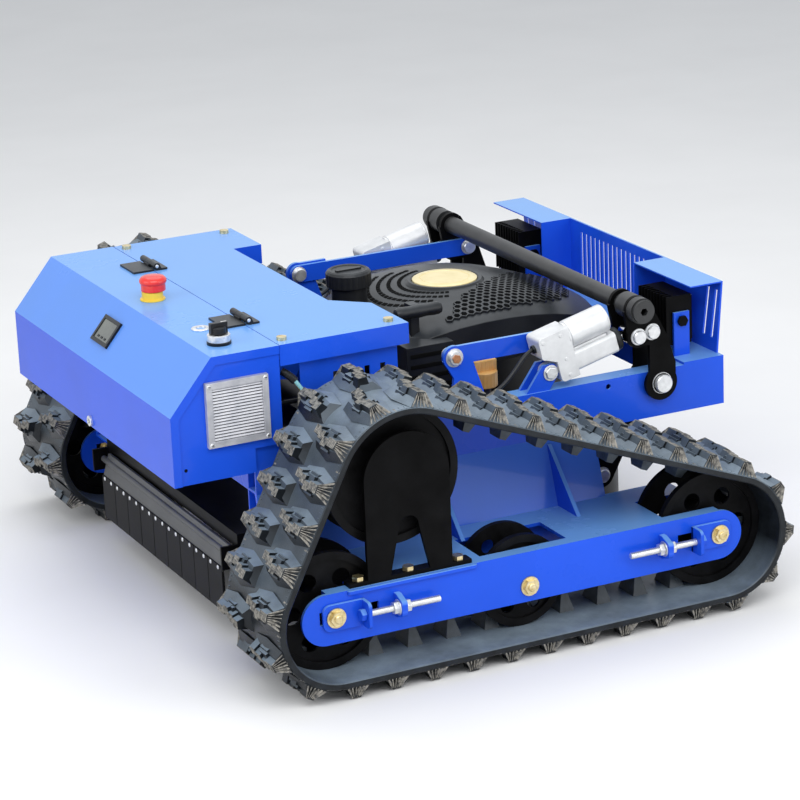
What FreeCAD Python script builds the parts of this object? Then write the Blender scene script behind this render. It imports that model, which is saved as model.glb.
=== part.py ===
import FreeCAD, Part
import math
import os
import Sketcher
from FreeCAD import Placement, Rotation, Vector

# Remote control slope mower: two triangular rubber tracks, a petrol engine on a cutting deck that
# a parallelogram linkage lifts, an electronics box at the rear and a guarded lamp platform in front.
# +X points to the lamps, +Y to the machine's left, +Z up. The origin is on the ground at the centre.

SIZES = {
    # whole machine
    "box_rear": 435.5,
    "front_end": 439.6,
    "overrun": 2,
    "running_gap": 0.1,
    "seat_gap": 0.3,
    "side_gap": 1,
    # tracks
    "track_offset": 422,
    "belt_width": 180,
    "belt_thick": 10,
    "tread_height": 20,
    "tread_length": 38,
    "tread_top_length": 20,
    "tread_width": 84,
    "tread_top_width": 58,
    "lug_length": 22,
    "lug_top_length": 12,
    "lug_width": 44,
    "lug_height": 25,
    "root_depth": 1,
    "idler_radius": 84,
    "roller_radius": 67,
    "rear_idler_x": -282,
    "wheelbase": 602,
    "roller_x": 15,
    "sprocket_setback": 106,
    "sprocket_lift": 175,
    "sprocket_radius": 99,
    "wheel_half_width": 34,
    "wheel_groove": 25,
    "rim_depth": 11,
    "web_thick": 4,
    "hub_radius": 26,
    "window_radius": 13,
    "axle_radius": 9,
    "drive_pin_radius": 8,
    "drive_pin_depth": 12,
    "shaft_radius": 15,
    # track frames
    "beam_bottom": 74.6,
    "beam_top": 147.6,
    "beam_outer": 480,
    "beam_inner": 364,
    "beam_wall": 5,
    "beam_rear_end": -330,
    "beam_front_end": 359,
    "slot_margin": 4,
    "roller_slot_half": 70,
    "flange_inner": 331,
    "side_panel_thick": 7,
    "side_panel_front": 218,
    "gusset_thick": 6,
    "gusset_width": 56,
    "gusset_drop": 9,
    "gusset_rear_x": -45,
    "gusset_front_x": 140,
    "tension_slot_half": 9.5,
    "tension_slot_back": 22,
    "tension_slot_run": 66,
    "yoke_thick": 5,
    "yoke_height": 38,
    "yoke_length": 44,
    "yoke_tab": 22,
    "anchor_reach": 97,
    "anchor_thick": 8,
    "anchor_height": 34,
    "tension_rod_radius": 5,
    "tension_rod_end": 152,
    "nut_radius": 9,
    "nut_thick": 8,
    # sprocket guards
    "arch_radius": 64,
    "arch_shift": 12,
    "arch_thick": 6,
    "arch_inset": 4,
    "arch_base_rear": -256,
    "arch_base_front": -71,
    "arch_base_width": 19,
    "window_foot": 30,
    "window_top": 15,
    "window_rise": 66,
    # main frame
    "rail_outer": 306,
    "rail_width": 30,
    "rail_bottom": 241,
    "rail_height": 70,
    "rail_wall": 3,
    "rail_rear": -313,
    "column_length": 84,
    "rail_hole_front": 245,
    "rail_hole_rear": 95,
    "rail_hole_z": 300,
    "rail_hole_radius": 4,
    "bulkhead_length": 40,
    "platform_rear": 372,
    "platform_thick": 4,
    "crossbar_length": 40,
    "crossbar_height": 55,
    # front guard and lamps
    "guard_top": 427.6,
    "guard_thick": 3,
    "guard_foot_inset": 15,
    "hood_rear": 384.5,
    "hood_inner": 144,
    "hood_sheet": 2,
    "slot_width": 6.5,
    "slot_pitch": 13.6,
    "slot_foot": 21,
    "slot_head": 15.6,
    "lamp_x": 389,
    "lamp_y": 228,
    "lamp_z": 368,
    "lamp_depth": 46,
    "lamp_width": 80,
    "lamp_height": 74,
    "lamp_fin": 12,
    "lamp_fin_thick": 2,
    "lamp_lens": 4,
    "lamp_pin_radius": 5,
    "lamp_arm": 4,
    "lamp_bracket_width": 26,
    # electronics box and its lid
    "box_half": 315,
    "box_bottom": 276.6,
    "box_knee": 375.6,
    "box_top": 451.6,
    "slope_run": 64,
    "lid_front": -271,
    "sheet": 2,
    "lid_flange": 12,
    "lid_gap": 0.6,
    "hinge_offset": 172,
    "hinge_length": 57,
    "hinge_leaf_length": 32,
    "hinge_leaf_thick": 3,
    "hinge_radius": 5,
    "hinge_pin_radius": 2.5,
    "hinge_x": -265.5,
    "hinge_rise": 6.5,
    # rear cover
    "cover_rear": -270,
    "cover_front": -120.5,
    "ear_front": -74.5,
    "ear_inner": 195,
    "ear_chamfer": 47,
    "cover_flange": 30,
    "cover_half": 314,
    "wall_offset": 300,
    "wall_rear": -236,
    "wall_front": -87,
    "vent_width": 8,
    "vent_first": -182,
    "vent_pitch": 24,
    "vent_low": 366,
    "vent_high": 396,
    # fan filter and fan
    "filter_x": -337.5,
    "filter_z": 370.6,
    "filter_size": 92,
    "filter_border": 9,
    "filter_thick": 8,
    "louvre_pitch": 5.8,
    "louvre_height": 3,
    "fan_size": 80,
    "fan_depth": 25,
    "fan_wall": 3,
    "fan_hub": 17,
    "fan_gap": 1.5,
    "blade_thick": 2,
    # controls on the lid
    "stop_x": -330,
    "stop_collar_radius": 15,
    "stop_collar_height": 13,
    "stop_head_radius": 20,
    "stop_neck_radius": 12.5,
    "stop_head_height": 17,
    "stop_travel": 5,
    "stop_stem_radius": 6,
    "selector_x": -336,
    "selector_y": -260,
    "selector_radius": 16,
    "selector_bezel_height": 14,
    "selector_knob_radius": 11,
    "selector_knob_height": 16,
    "selector_grip": 8,
    "ring_y": -180,
    "ring_radius": 13,
    "ring_thick": 1.5,
    "meter_along": 51,
    "meter_length": 42,
    "meter_width": 60,
    "meter_thick": 4,
    "latch_y": 4,
    "latch_z": 286,
    "latch_radius": 8,
    "latch_thick": 4,
    "latch_stem_radius": 4,
    "latch_stem": 12,
    "latch_cam": 22,
    # lift linkage
    "pivot_front_x": 327,
    "pivot_rear_x": 29,
    "pivot_z": 295,
    "arm_back": 78,
    "arm_drop": 140,
    "tie_back": 15,
    "tie_rise": 80,
    "eye_back": 38,
    "eye_rise": 76,
    "tube_back": 38.8,
    "tube_rise": 117.5,
    "plate_thick": 6,
    "arm_inner": 268,
    "tie_inner": 261,
    "tie_height": 27,
    "outer_plate_inner": 312,
    "pivot_pin_radius": 10,
    "pivot_ring": 26,
    "pin_radius": 6,
    "pin_ring": 17,
    "arm_half": 20,
    "head_radius": 10,
    "head_thick": 7,
    "washer_thick": 2,
    "big_head_radius": 15,
    "tube_radius": 13.5,
    "tube_wall": 3,
    "fitting_radius": 19,
    "fitting_length": 26,
    "tube_end": 332,
    # actuators
    "clevis_x": 152,
    "clevis_z": 336.6,
    "actuator_y": 291,
    "clevis_radius": 11,
    "clevis_half": 7,
    "housing_start": 10,
    "housing_end": 42,
    "housing_half": 20,
    "motor_rise": 38.6,
    "motor_radius": 21,
    "motor_end": 108,
    "sleeve_radius": 16,
    "sleeve_end": 113,
    "sleeve_cap": 9,
    "rod_radius": 6,
    "rod_start": 62,
    "eye_radius": 12,
    "eye_half": 7,
    "eye_gap": 2.7,
    "bracket_gap": 0.6,
    "bracket_thick": 5,
    # deck and engine
    "deck_rear": -325,
    "deck_half": 255,
    "deck_bottom": 55,
    "deck_top": 170,
    "deck_wall": 4,
    "engine_x": 139,
    "block_half_x": 100,
    "block_half_y": 95,
    "block_base": 60,
    "block_top": 318,
    "head_reach": 60,
    "head_half": 55,
    "fin_pitch": 12,
    "fin_thick": 5,
    "cowl_bottom": 322,
    "cowl_rear": -15,
    "cowl_front": 364,
    "cowl_half": 168,
    "cowl_top": 408,
    "cowl_nose": 350,
    "cowl_nose_half": 77,
    "cowl_wall": 4,
    "badge_radius": 49,
    "badge_thick": 3,
    "cap_x": -6,
    "cap_y": 30,
    "cap_radius": 34,
    "cap_height": 26,
    "cap_wall": 6,
    "cap_top": 440,
    "neck_radius": 27,
    "grip_x": 20,
    "grip_y": -150,
    "grip_z": 413,
    "grip_length": 76,
    "grip_radius": 10,
    "grip_post": 10,
    "air_x": 20,
    "air_length": 76,
    "air_inner": 100,
    "air_top": 372,
    "air_outer": 186,
    "air_bottom": 262,
    "muffler_outer": 175,
    "muffler_x": 60,
    "muffler_length": 120,
    "muffler_bottom": 215,
    "muffler_top": 300,
    "dipstick_x": 99,
    "dipstick_y": -200,
    "dipstick_z": 319,
    "dipstick_radius": 19,
    "dipstick_height": 40,
    "dipstick_tube": 9,
    "blade_reach": 235,
    "blade_half": 30,
    "cutter_thick": 5,
    "cutter_z": 72,
    "crank_radius": 12.5,
    "crank_hub": 30,
    # rear flaps
    "flap_x": -333,
    "flap_rod_z": 138,
    "flap_rod_radius": 5,
    "flap_half": 236,
    "flap_bar_top": 150,
    "flap_bar_bottom": 112,
    "flap_bar_thick": 4,
    "flap_lean": 12,
    "strip_thick": 5,
    "strip_bottom": 50,
    "strip_gap": 1.5,
    # what the box and the frame hold inside
    "battery_length": 90,
    "battery_width": 150,
    "battery_height": 94,
    "battery_x": -384,
    "battery_y": 140,
    "controller_length": 66,
    "controller_width": 110,
    "controller_height": 32,
    "controller_y": 105,
    "gearbox_half": 45,
    "gearbox_width": 74,
    "motor_can_radius": 38,
    "motor_can_length": 112,
    "bearing_radius": 34,
    "bearing_width": 14,
    # fasteners
    "screw_head_radius": 7,
    "screw_head_height": 5,
    "screw_rear_x": -257,
    "screw_front_x": -95,
    "screw_y": 292,
    "bolt_head_radius": 8.5,
    "bolt_head_height": 6,
    "axle_head_radius": 11,
    "axle_head_thick": 8,
    # wiring
    "loom_radius": 9,
    "wire_radius": 3,
    "lead_radius": 3,
}

TREAD_COUNT = 32
SPROCKET_PINS = 11
WHEEL_WINDOWS = 6
STRIP_COUNT = 9
GUARD_SLOTS = 17
FAN_BLADES = 7
SIDES = {"right": -1, "left": 1}

doc = FreeCAD.newDocument("SlopeMower")
sheet = doc.addObject("Spreadsheet::Sheet", "Dims")
for row, (alias, number) in enumerate(SIZES.items(), start=1):
    sheet.set("A%d" % row, alias)
    sheet.set("B%d" % row, "%g" % number)
    sheet.setAlias("B%d" % row, alias)
doc.recompute()


class Size:
    """A length or place that carries its number and the sheet formula that gives it."""

    def __init__(self, value, formula):
        self.value = float(value)
        self.formula = formula

    @staticmethod
    def of(item):
        return item if isinstance(item, Size) else Size(item, "%.12g" % item)

    def __add__(self, other):
        other = Size.of(other)
        return Size(self.value + other.value, "(%s + %s)" % (self.formula, other.formula))

    __radd__ = __add__

    def __neg__(self):
        return Size(-self.value, "(-1 * %s)" % self.formula)

    def __sub__(self, other):
        other = Size.of(other)
        return Size(self.value - other.value, "(%s - %s)" % (self.formula, other.formula))

    def __rsub__(self, other):
        return Size.of(other) - self

    def __mul__(self, other):
        other = Size.of(other)
        return Size(self.value * other.value, "(%s * %s)" % (self.formula, other.formula))

    __rmul__ = __mul__

    def __truediv__(self, other):
        other = Size.of(other)
        return Size(self.value / other.value, "(%s / %s)" % (self.formula, other.formula))


class Dimensions:
    """Gives each sheet cell as a Size by its alias."""

    def __getattr__(self, alias):
        return Size(sheet.get(alias), "Dims.%s" % alias)


D = Dimensions()
ZERO = Size(0, "0")


def bind(thing, prop, size):
    """Ties one property to the sheet."""
    thing.setExpression(prop, Size.of(size).formula)


def circle(across, up, radius):
    return ("circle", Size.of(across), Size.of(up), Size.of(radius))


def rectangle(low_a, low_b, high_a, high_b):
    return [(low_a, low_b), (high_a, low_b), (high_a, high_b), (low_a, high_b)]


def ring_points(count, radius, across, up, start=0.0):
    """Centres of repeated features on a circle."""
    places = []
    for index in range(count):
        angle = math.radians(start + 360.0 * index / count)
        places.append((across + radius * math.cos(angle), up + radius * math.sin(angle)))
    return places


def side_span(sign, inner, outer):
    """The lateral range on one side of the machine, from low Y to high Y."""
    return (-outer, -inner) if sign < 0 else (inner, outer)


class Piece:
    """One named sub-part, made as a body of sketches and features."""

    def __init__(self, name):
        self.body = doc.addObject("PartDesign::Body", name)
        self.body.Label = name
        self.body.AllowCompound = True
        self.count = 0
        PIECES.append(self.body)

    def named(self, kind):
        self.count += 1
        return "%s_%s%d" % (self.body.Name, kind, self.count)

    def plane(self, role):
        return [item for item in self.body.Origin.OriginFeatures if item.Role == role][0]

    def sketch(self, role, start, loops):
        """Draws closed loops on an origin plane, shifted along it, each point held by the sheet."""
        drawing = self.body.newObject("Sketcher::SketchObject", self.named("sketch"))
        drawing.AttachmentSupport = [(self.plane(role), "")]
        drawing.MapMode = "FlatFace"
        shift = -start if role == "XZ_Plane" else start
        bind(drawing, ".AttachmentOffset.Base.z", shift)
        for loop in loops:
            first = drawing.GeometryCount
            if loop[0] == "circle":
                across, up, radius = loop[1:]
                centre = Vector(across.value, up.value, 0)
                drawing.addGeometry(Part.Circle(centre, Vector(0, 0, 1), radius.value))
                limits = [("DistanceX", 3, across), ("DistanceY", 3, up)]
                for kind, spot, size in limits:
                    made = Sketcher.Constraint(kind, -1, 1, first, spot, size.value)
                    drawing.setExpression("Constraints[%d]" % drawing.addConstraint(made), size.formula)
                made = Sketcher.Constraint("Radius", first, radius.value)
                drawing.setExpression("Constraints[%d]" % drawing.addConstraint(made), radius.formula)
                continue
            points = [(Size.of(across), Size.of(up)) for across, up in loop]
            total = len(points)
            for index in range(total):
                here = points[index]
                there = points[(index + 1) % total]
                drawing.addGeometry(Part.LineSegment(
                    Vector(here[0].value, here[1].value, 0),
                    Vector(there[0].value, there[1].value, 0)))
            for index in range(total):
                follows = first + (index + 1) % total
                drawing.addConstraint(Sketcher.Constraint("Coincident", first + index, 2, follows, 1))
            for index, (across, up) in enumerate(points):
                for kind, size in (("DistanceX", across), ("DistanceY", up)):
                    made = Sketcher.Constraint(kind, -1, 1, first + index, 1, size.value)
                    drawing.setExpression("Constraints[%d]" % drawing.addConstraint(made), size.formula)
        return drawing

    def pad(self, role, loops, start, end):
        """Adds material from start to end along the plane's positive world direction."""
        start, end = Size.of(start), Size.of(end)
        feature = self.body.newObject("PartDesign::Pad", self.named("pad"))
        feature.Profile = self.sketch(role, start, loops)
        bind(feature, "Length", end - start)
        feature.Reversed = role == "XZ_Plane"
        return feature

    def cut(self, role, loops, start, end):
        """Removes material from start to end and makes sure that something went."""
        doc.recompute()
        before = self.body.Shape.Volume
        start, end = Size.of(start), Size.of(end)
        feature = self.body.newObject("PartDesign::Pocket", self.named("pocket"))
        feature.Profile = self.sketch(role, start, loops)
        bind(feature, "Length", end - start)
        feature.Reversed = role != "XZ_Plane"
        doc.recompute()
        if not self.body.Shape.Volume < before:
            raise RuntimeError("a pocket cut nothing in " + self.body.Label)
        return feature

    def turn(self, profile, role="XZ_Plane"):
        """Revolves a radius and height profile about the sketch's upright axis."""
        feature = self.body.newObject("PartDesign::Revolution", self.named("turn"))
        drawing = self.sketch(role, ZERO, [profile])
        feature.Profile = drawing
        feature.ReferenceAxis = (drawing, ["V_Axis"])
        feature.Angle = 360
        return feature

    def place(self, across, along, up, axis=None, angle=None):
        if axis is not None:
            self.body.Placement = Placement(Vector(0, 0, 0), Rotation(axis, 1.0))
            bind(self.body, "Placement.Rotation.Angle", angle)
        bind(self.body, "Placement.Base.x", across)
        bind(self.body, "Placement.Base.y", along)
        bind(self.body, "Placement.Base.z", up)
        return self


PIECES = []


def solid_feature(name, shape, at=None):
    """Holds a shape that formulas make, where no sketched feature fits it."""
    feature = doc.addObject("Part::Feature", name)
    feature.Label = name
    feature.Shape = shape
    feature.Placement = at or Placement()
    PIECES.append(feature)
    return feature


def moved(point, across, up):
    return (point[0] + across, point[1] + up)


# Track geometry: the belt runs round the rear idler, the sprocket and the front idler.

AXLE_Z = D.idler_radius + D.seat_gap + D.belt_thick + D.tread_height
FRONT_IDLER_X = D.rear_idler_x + D.wheelbase
ROLLER_Z = D.tread_height + D.belt_thick + D.seat_gap + D.roller_radius
SPROCKET_X = D.rear_idler_x + D.sprocket_setback
SPROCKET_Z = AXLE_Z + D.sprocket_lift


class BeltPath:
    """The closed line of the belt's inner face, with its length and any point along it."""

    def __init__(self):
        idler = (D.idler_radius + D.seat_gap).value
        drive = (D.sprocket_radius + D.seat_gap).value
        wheels = [
            (Vector(D.rear_idler_x.value, 0, AXLE_Z.value), idler),
            (Vector(SPROCKET_X.value, 0, SPROCKET_Z.value), drive),
            (Vector(FRONT_IDLER_X.value, 0, AXLE_Z.value), idler),
        ]
        self.wheels = wheels
        self.tangents = []
        for index in range(3):
            here, radius = wheels[index]
            there, other = wheels[(index + 1) % 3]
            gap = there - here
            unit = Vector(gap).normalize()
            side = (radius - other) / gap.Length
            rise = math.sqrt(1 - side * side)
            out = Vector(-unit.z * rise + unit.x * side, 0, unit.x * rise + unit.z * side)
            self.tangents.append((here + out * radius, there + out * other, out))
        self.runs = []
        for index in range(3):
            start, end, out = self.tangents[index]
            self.runs.append(("line", start, end, out, (end - start).Length))
            wheel, radius = wheels[(index + 1) % 3]
            after = self.tangents[(index + 1) % 3][2]
            turn = math.atan2(out.z, out.x) - math.atan2(after.z, after.x)
            turn = turn % (2 * math.pi)
            self.runs.append(("arc", wheel, radius, out, turn))

    def length_at(self, offset):
        total = 0.0
        for run in self.runs:
            total += run[4] if run[0] == "line" else (run[2] + offset) * run[4]
        return total

    def at(self, distance, offset):
        """Point on the inner face and outward direction, measured along the cord line."""
        for run in self.runs:
            span = run[4] if run[0] == "line" else (run[2] + offset) * run[4]
            if distance <= span:
                break
            distance -= span
        if run[0] == "line":
            return run[1] + (run[2] - run[1]) * (distance / span), run[3]
        start = math.atan2(run[3].z, run[3].x)
        angle = start - distance / (run[2] + offset)
        out = Vector(math.cos(angle), 0, math.sin(angle))
        return run[1] + out * run[2], out

    def wire(self, offset):
        """The closed outline at a distance outside the inner face."""
        edges = []
        for index in range(3):
            start, end, out = self.tangents[index]
            edges.append(Part.LineSegment(start + out * offset, end + out * offset).toShape())
            wheel, radius = self.wheels[(index + 1) % 3]
            after = self.tangents[(index + 1) % 3]
            middle = (out + after[2]).normalize()
            if self.runs[2 * index + 1][4] > math.pi:
                middle = middle * -1
            reach = radius + offset
            edges.append(Part.Arc(wheel + out * reach, wheel + middle * reach,
                                  wheel + after[2] * reach).toShape())
        return Part.Wire(edges)


PATH = BeltPath()
CORD_DEPTH = D.belt_thick.value / 2
BELT_STEP = PATH.length_at(CORD_DEPTH) / TREAD_COUNT


def sprocket_phase():
    """Distance along the belt at the middle of its wrap on the sprocket, and its direction."""
    line, arc = PATH.runs[0], PATH.runs[1]
    distance = line[4] + (arc[2] + CORD_DEPTH) * arc[4] / 2
    return distance, PATH.at(distance, CORD_DEPTH)[1]


def tapered_block(base_length, top_length, base_width, top_width, height, root):
    """A lug: a loft from its root in the belt to its smaller top, along local Z."""
    def outline(length, width, level):
        corners = [Vector(-length / 2, -width / 2, level), Vector(length / 2, -width / 2, level),
                   Vector(length / 2, width / 2, level), Vector(-length / 2, width / 2, level)]
        return Part.makePolygon(corners + corners[:1])
    foot = outline(base_length, base_width, -root)
    top = outline(top_length, top_width, height)
    return Part.makeLoft([foot, top], True, True)


def standing(block, point, out, lateral, inward=False):
    """Stands a block on the belt with its local Z along the outward or inward direction."""
    up = out * -1 if inward else out
    along = Vector(0, 1, 0).cross(up)
    turned = Rotation(along, Vector(0, 1, 0), up, "ZXY")
    block = block.copy()
    block.Placement = Placement(Vector(point.x, lateral, point.z), turned)
    return block


def track_belt(name, sign):
    """Rubber belt with two staggered rows of treads outside and one row of drive lugs inside."""
    thick = D.belt_thick.value
    centre = sign * D.track_offset.value
    half = D.belt_width.value / 2
    band = Part.Face(PATH.wire(thick)).extrude(Vector(0, 2 * half, 0))
    band = band.cut(Part.Face(PATH.wire(0)).extrude(Vector(0, 2 * half, 0)))
    band.translate(Vector(0, centre - half, 0))
    tread = tapered_block(D.tread_length.value, D.tread_top_length.value, D.tread_width.value,
                          D.tread_top_width.value, D.tread_height.value, D.root_depth.value)
    lug = tapered_block(D.lug_length.value, D.lug_top_length.value, D.lug_width.value,
                        D.lug_width.value, D.lug_height.value, D.root_depth.value)
    phase = sprocket_phase()[0] % BELT_STEP
    total = PATH.length_at(CORD_DEPTH)
    blocks = []
    for index in range(TREAD_COUNT):
        for row, stagger in ((1, 0.0), (-1, 0.5)):
            distance = (phase + (index + stagger) * BELT_STEP) % total
            point, out = PATH.at(distance, CORD_DEPTH)
            lateral = centre + sign * row * (half - D.tread_width.value / 2)
            blocks.append(standing(tread, point + out * thick, out, lateral))
        point, out = PATH.at((phase + index * BELT_STEP) % total, CORD_DEPTH)
        blocks.append(standing(lug, point, out, centre, inward=True))
    solid = band.fuse(blocks).removeSplitter()
    return solid_feature(name, solid)


def wheel(name, sign, radius, x_place, z_place):
    """Two-rimmed track wheel with a groove for the belt's lugs."""
    half, groove, web = D.wheel_half_width, D.wheel_groove, D.web_thick
    bore = D.axle_radius + D.running_gap
    rim = radius - D.rim_depth
    profile = [
        (bore, -half), (D.hub_radius, -half), (D.hub_radius, -(groove + web)),
        (rim, -(groove + web)), (rim, -half), (radius, -half), (radius, -groove),
        (D.hub_radius, -groove), (D.hub_radius, groove), (radius, groove), (radius, half),
        (rim, half), (rim, groove + web), (D.hub_radius, groove + web), (D.hub_radius, half),
        (bore, half),
    ]
    piece = Piece(name)
    piece.turn(profile, "XY_Plane")
    middle = (D.hub_radius + rim) / 2
    windows = [circle(a, b, D.window_radius * radius / D.idler_radius)
               for a, b in ring_points(WHEEL_WINDOWS, middle, ZERO, ZERO)]
    piece.cut("XZ_Plane", windows, -half, half)
    return piece.place(x_place, sign * D.track_offset, z_place)


def sprocket(name, sign):
    """Two discs joined by drive pins that push the belt's lugs, on its own shaft."""
    half, groove, web = D.wheel_half_width, D.wheel_groove, D.web_thick
    radius = D.sprocket_radius
    rim = radius - D.rim_depth
    shaft = D.shaft_radius
    inner_end = D.track_offset - D.rail_outer + D.rail_width
    profile = [
        (ZERO, -inner_end), (shaft, -inner_end), (shaft, -half), (D.hub_radius, -half),
        (D.hub_radius, -(groove + web)),
        (rim, -(groove + web)), (rim, -half), (radius, -half), (radius, -groove),
        (D.hub_radius, -groove), (D.hub_radius, groove), (radius, groove), (radius, half),
        (rim, half), (rim, groove + web), (D.hub_radius, groove + web), (D.hub_radius, half),
        (ZERO, half),
    ]
    if sign < 0:
        profile = [(across, -up) for across, up in profile]
    piece = Piece(name)
    piece.turn(profile, "XY_Plane")
    out = sprocket_phase()[1]
    start = math.degrees(math.atan2(out.z, out.x)) + 180.0 / SPROCKET_PINS
    reach = radius - D.drive_pin_depth
    pins = [circle(a, b, D.drive_pin_radius)
            for a, b in ring_points(SPROCKET_PINS, reach, ZERO, ZERO, start)]
    piece.pad("XZ_Plane", pins, -groove, groove)
    return piece.place(SPROCKET_X, sign * D.track_offset, SPROCKET_Z)


def track_beam(name, sign):
    """Inverted channel that carries the idlers and the roller between its two plates."""
    piece = Piece(name)
    top, wall = D.beam_top, D.beam_wall
    rear, front = D.beam_rear_end, D.beam_front_end
    web_rear = D.rear_idler_x - D.axle_radius
    web_front = FRONT_IDLER_X + D.axle_radius / 2
    end = (top - D.beam_bottom) / 2
    level = top - end
    loops = [rectangle(rear + end, D.beam_bottom, front - end, top),
             circle(rear + end, level, end), circle(front - end, level, end)]
    for edge in (D.beam_outer - wall, D.beam_inner):
        low, high = side_span(sign, edge, edge + wall)
        for loop in loops:
            piece.pad("XZ_Plane", [loop], low, high)
    low, high = side_span(sign, D.beam_inner, D.beam_outer)
    piece.pad("XY_Plane", [rectangle(web_rear, low, web_front, high)], top - wall, top)
    centre = sign * D.track_offset
    slot = D.wheel_half_width + D.slot_margin
    idler_reach = D.idler_radius - D.slot_margin
    openings = [
        rectangle(web_rear - D.overrun, centre - slot, D.rear_idler_x + idler_reach, centre + slot),
        rectangle(D.roller_x - D.roller_slot_half + D.slot_margin, centre - slot,
                  D.roller_x + D.roller_slot_half, centre + slot),
        rectangle(FRONT_IDLER_X - idler_reach, centre - slot, web_front + D.overrun, centre + slot),
    ]
    piece.cut("XY_Plane", openings, top - wall - D.overrun, top + D.overrun)
    low, high = side_span(sign, D.beam_inner - D.overrun, D.beam_outer + D.overrun)
    half = D.tension_slot_half
    slots = []
    for axle, toward in ((D.rear_idler_x, 1), (FRONT_IDLER_X, -1)):
        ends = sorted([axle - toward * D.tension_slot_back, axle + toward * D.tension_slot_run],
                      key=lambda size: size.value)
        slots.append(rectangle(ends[0], AXLE_Z - half, ends[1], AXLE_Z + half))
    bore = D.axle_radius + D.running_gap
    piece.cut("XZ_Plane", slots + [circle(D.roller_x, ROLLER_Z, bore)], low, high)
    return piece


def side_frame(name, sign):
    """Welded side of the frame: rail tube, rear column, slanted side panel, flange and gussets."""
    piece = Piece(name)
    outer, inner = D.rail_outer, D.rail_outer - D.rail_width
    bottom, top = D.rail_bottom, D.rail_bottom + D.rail_height
    wall = D.rail_wall
    low, high = side_span(sign, inner, outer)
    tube = [rectangle(low, bottom, high, top),
            rectangle(low + wall, bottom + wall, high - wall, top - wall)]
    piece.pad("YZ_Plane", tube, D.rail_rear, D.front_end)
    web = D.beam_top - D.beam_wall
    flange_edge = D.flange_inner + D.side_panel_thick
    slant = [(sign * (outer - D.side_panel_thick), bottom), (sign * outer, bottom),
             (sign * flange_edge, D.beam_top), (sign * D.flange_inner, D.beam_top)]
    piece.pad("YZ_Plane", [slant], D.rail_rear, D.side_panel_front)
    flange = [(sign * D.flange_inner, web), (sign * D.beam_inner, web),
              (sign * D.beam_inner, D.beam_top), (sign * D.flange_inner, D.beam_top)]
    web_rear = D.rear_idler_x - D.axle_radius
    piece.pad("YZ_Plane", [flange], web_rear, FRONT_IDLER_X + D.axle_radius / 2)
    column = rectangle(D.rail_rear, D.beam_top, D.rail_rear + D.column_length, bottom)
    low, high = side_span(sign, inner, inner + wall)
    piece.pad("XZ_Plane", [column], low, high)
    foot = [(sign * inner, D.beam_top), (sign * D.flange_inner, D.beam_top),
            (sign * D.flange_inner, D.beam_top + wall), (sign * inner, D.beam_top + wall)]
    piece.pad("YZ_Plane", [foot], D.rail_rear, D.rail_rear + D.column_length)
    for place in (D.gusset_rear_x, D.gusset_front_x):
        gusset = [(sign * (outer - wall), bottom - D.gusset_drop),
                  (sign * D.flange_inner, D.beam_top), (sign * (flange_edge + D.gusset_width), D.beam_top),
                  (sign * (outer + D.gusset_thick), bottom - D.gusset_drop)]
        piece.pad("YZ_Plane", [gusset], place, place + D.gusset_thick)
    low, high = side_span(sign, inner - D.overrun, outer + D.overrun)
    bore = D.shaft_radius + D.side_gap
    pins = [circle(D.pivot_front_x, D.pivot_z, D.pivot_pin_radius + D.running_gap),
            circle(D.pivot_rear_x, D.pivot_z, D.pivot_pin_radius + D.running_gap),
            circle(D.rail_hole_front, D.rail_hole_z, D.rail_hole_radius),
            circle(D.rail_hole_rear, D.rail_hole_z, D.rail_hole_radius)]
    piece.cut("XZ_Plane", [circle(SPROCKET_X, SPROCKET_Z, bore)] + pins, low, high)
    return piece


def sprocket_guard(name, sign):
    """Black arched plate outside the sprocket, on a foot bolted to the beam."""
    piece = Piece(name)
    centre = SPROCKET_X + D.arch_shift
    level = D.beam_top + D.arch_thick
    radius = D.arch_radius
    face = D.beam_outer - D.arch_inset
    low, high = side_span(sign, face - D.arch_thick, face)
    plate = rectangle(centre - radius, D.beam_top, centre + radius, SPROCKET_Z)
    piece.pad("XZ_Plane", [plate], low, high)
    piece.pad("XZ_Plane", [circle(centre, SPROCKET_Z, radius)], low, high)
    foot_low, foot_high = side_span(sign, face - D.arch_base_width, face)
    foot = rectangle(D.arch_base_rear, foot_low, D.arch_base_front, foot_high)
    piece.pad("XY_Plane", [foot], D.beam_top, level)
    window = [(centre - D.window_foot, level), (centre - D.window_top, level + D.window_rise),
              (centre + D.window_top, level + D.window_rise), (centre + D.window_foot, level)]
    cut_low, cut_high = low - D.overrun, high + D.overrun
    piece.cut("XZ_Plane", [window], cut_low, cut_high)
    crown = circle(centre, level + D.window_rise, D.window_top)
    piece.cut("XZ_Plane", [crown], cut_low, cut_high)
    return piece


print("belt length", round(PATH.length_at(CORD_DEPTH), 2), "pitch", round(BELT_STEP, 3))


def hypot(a, b):
    """Straight length of two perpendicular sizes."""
    a, b = Size.of(a), Size.of(b)
    return Size(math.hypot(a.value, b.value), "sqrt(%s ^ 2 + %s ^ 2)" % (a.formula, b.formula))


def bar(start, end, half):
    """Four corners of a straight bar between two points."""
    run, rise = end[0] - start[0], end[1] - start[1]
    length = hypot(run, rise)
    across, up = half * rise / length, half * run / length
    return [(start[0] + across, start[1] - up), (end[0] + across, end[1] - up),
            (end[0] - across, end[1] + up), (start[0] - across, start[1] + up)]


def scaled(shares, wide, high):
    """Outline points from shares of a width and a height."""
    return [(wide * across, high * up) for across, up in shares]


def hexagon(across, up, radius):
    """Corners of a hexagonal head or nut."""
    return [(across + radius * math.cos(math.radians(60 * turn)),
             up + radius * math.sin(math.radians(60 * turn))) for turn in range(6)]


def both_sides(piece, role, loops, inner, outer):
    """Pads the same loops on the right and on the left."""
    for sign in (-1, 1):
        low, high = side_span(sign, Size.of(inner), Size.of(outer))
        piece.pad(role, loops, low, high)


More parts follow.
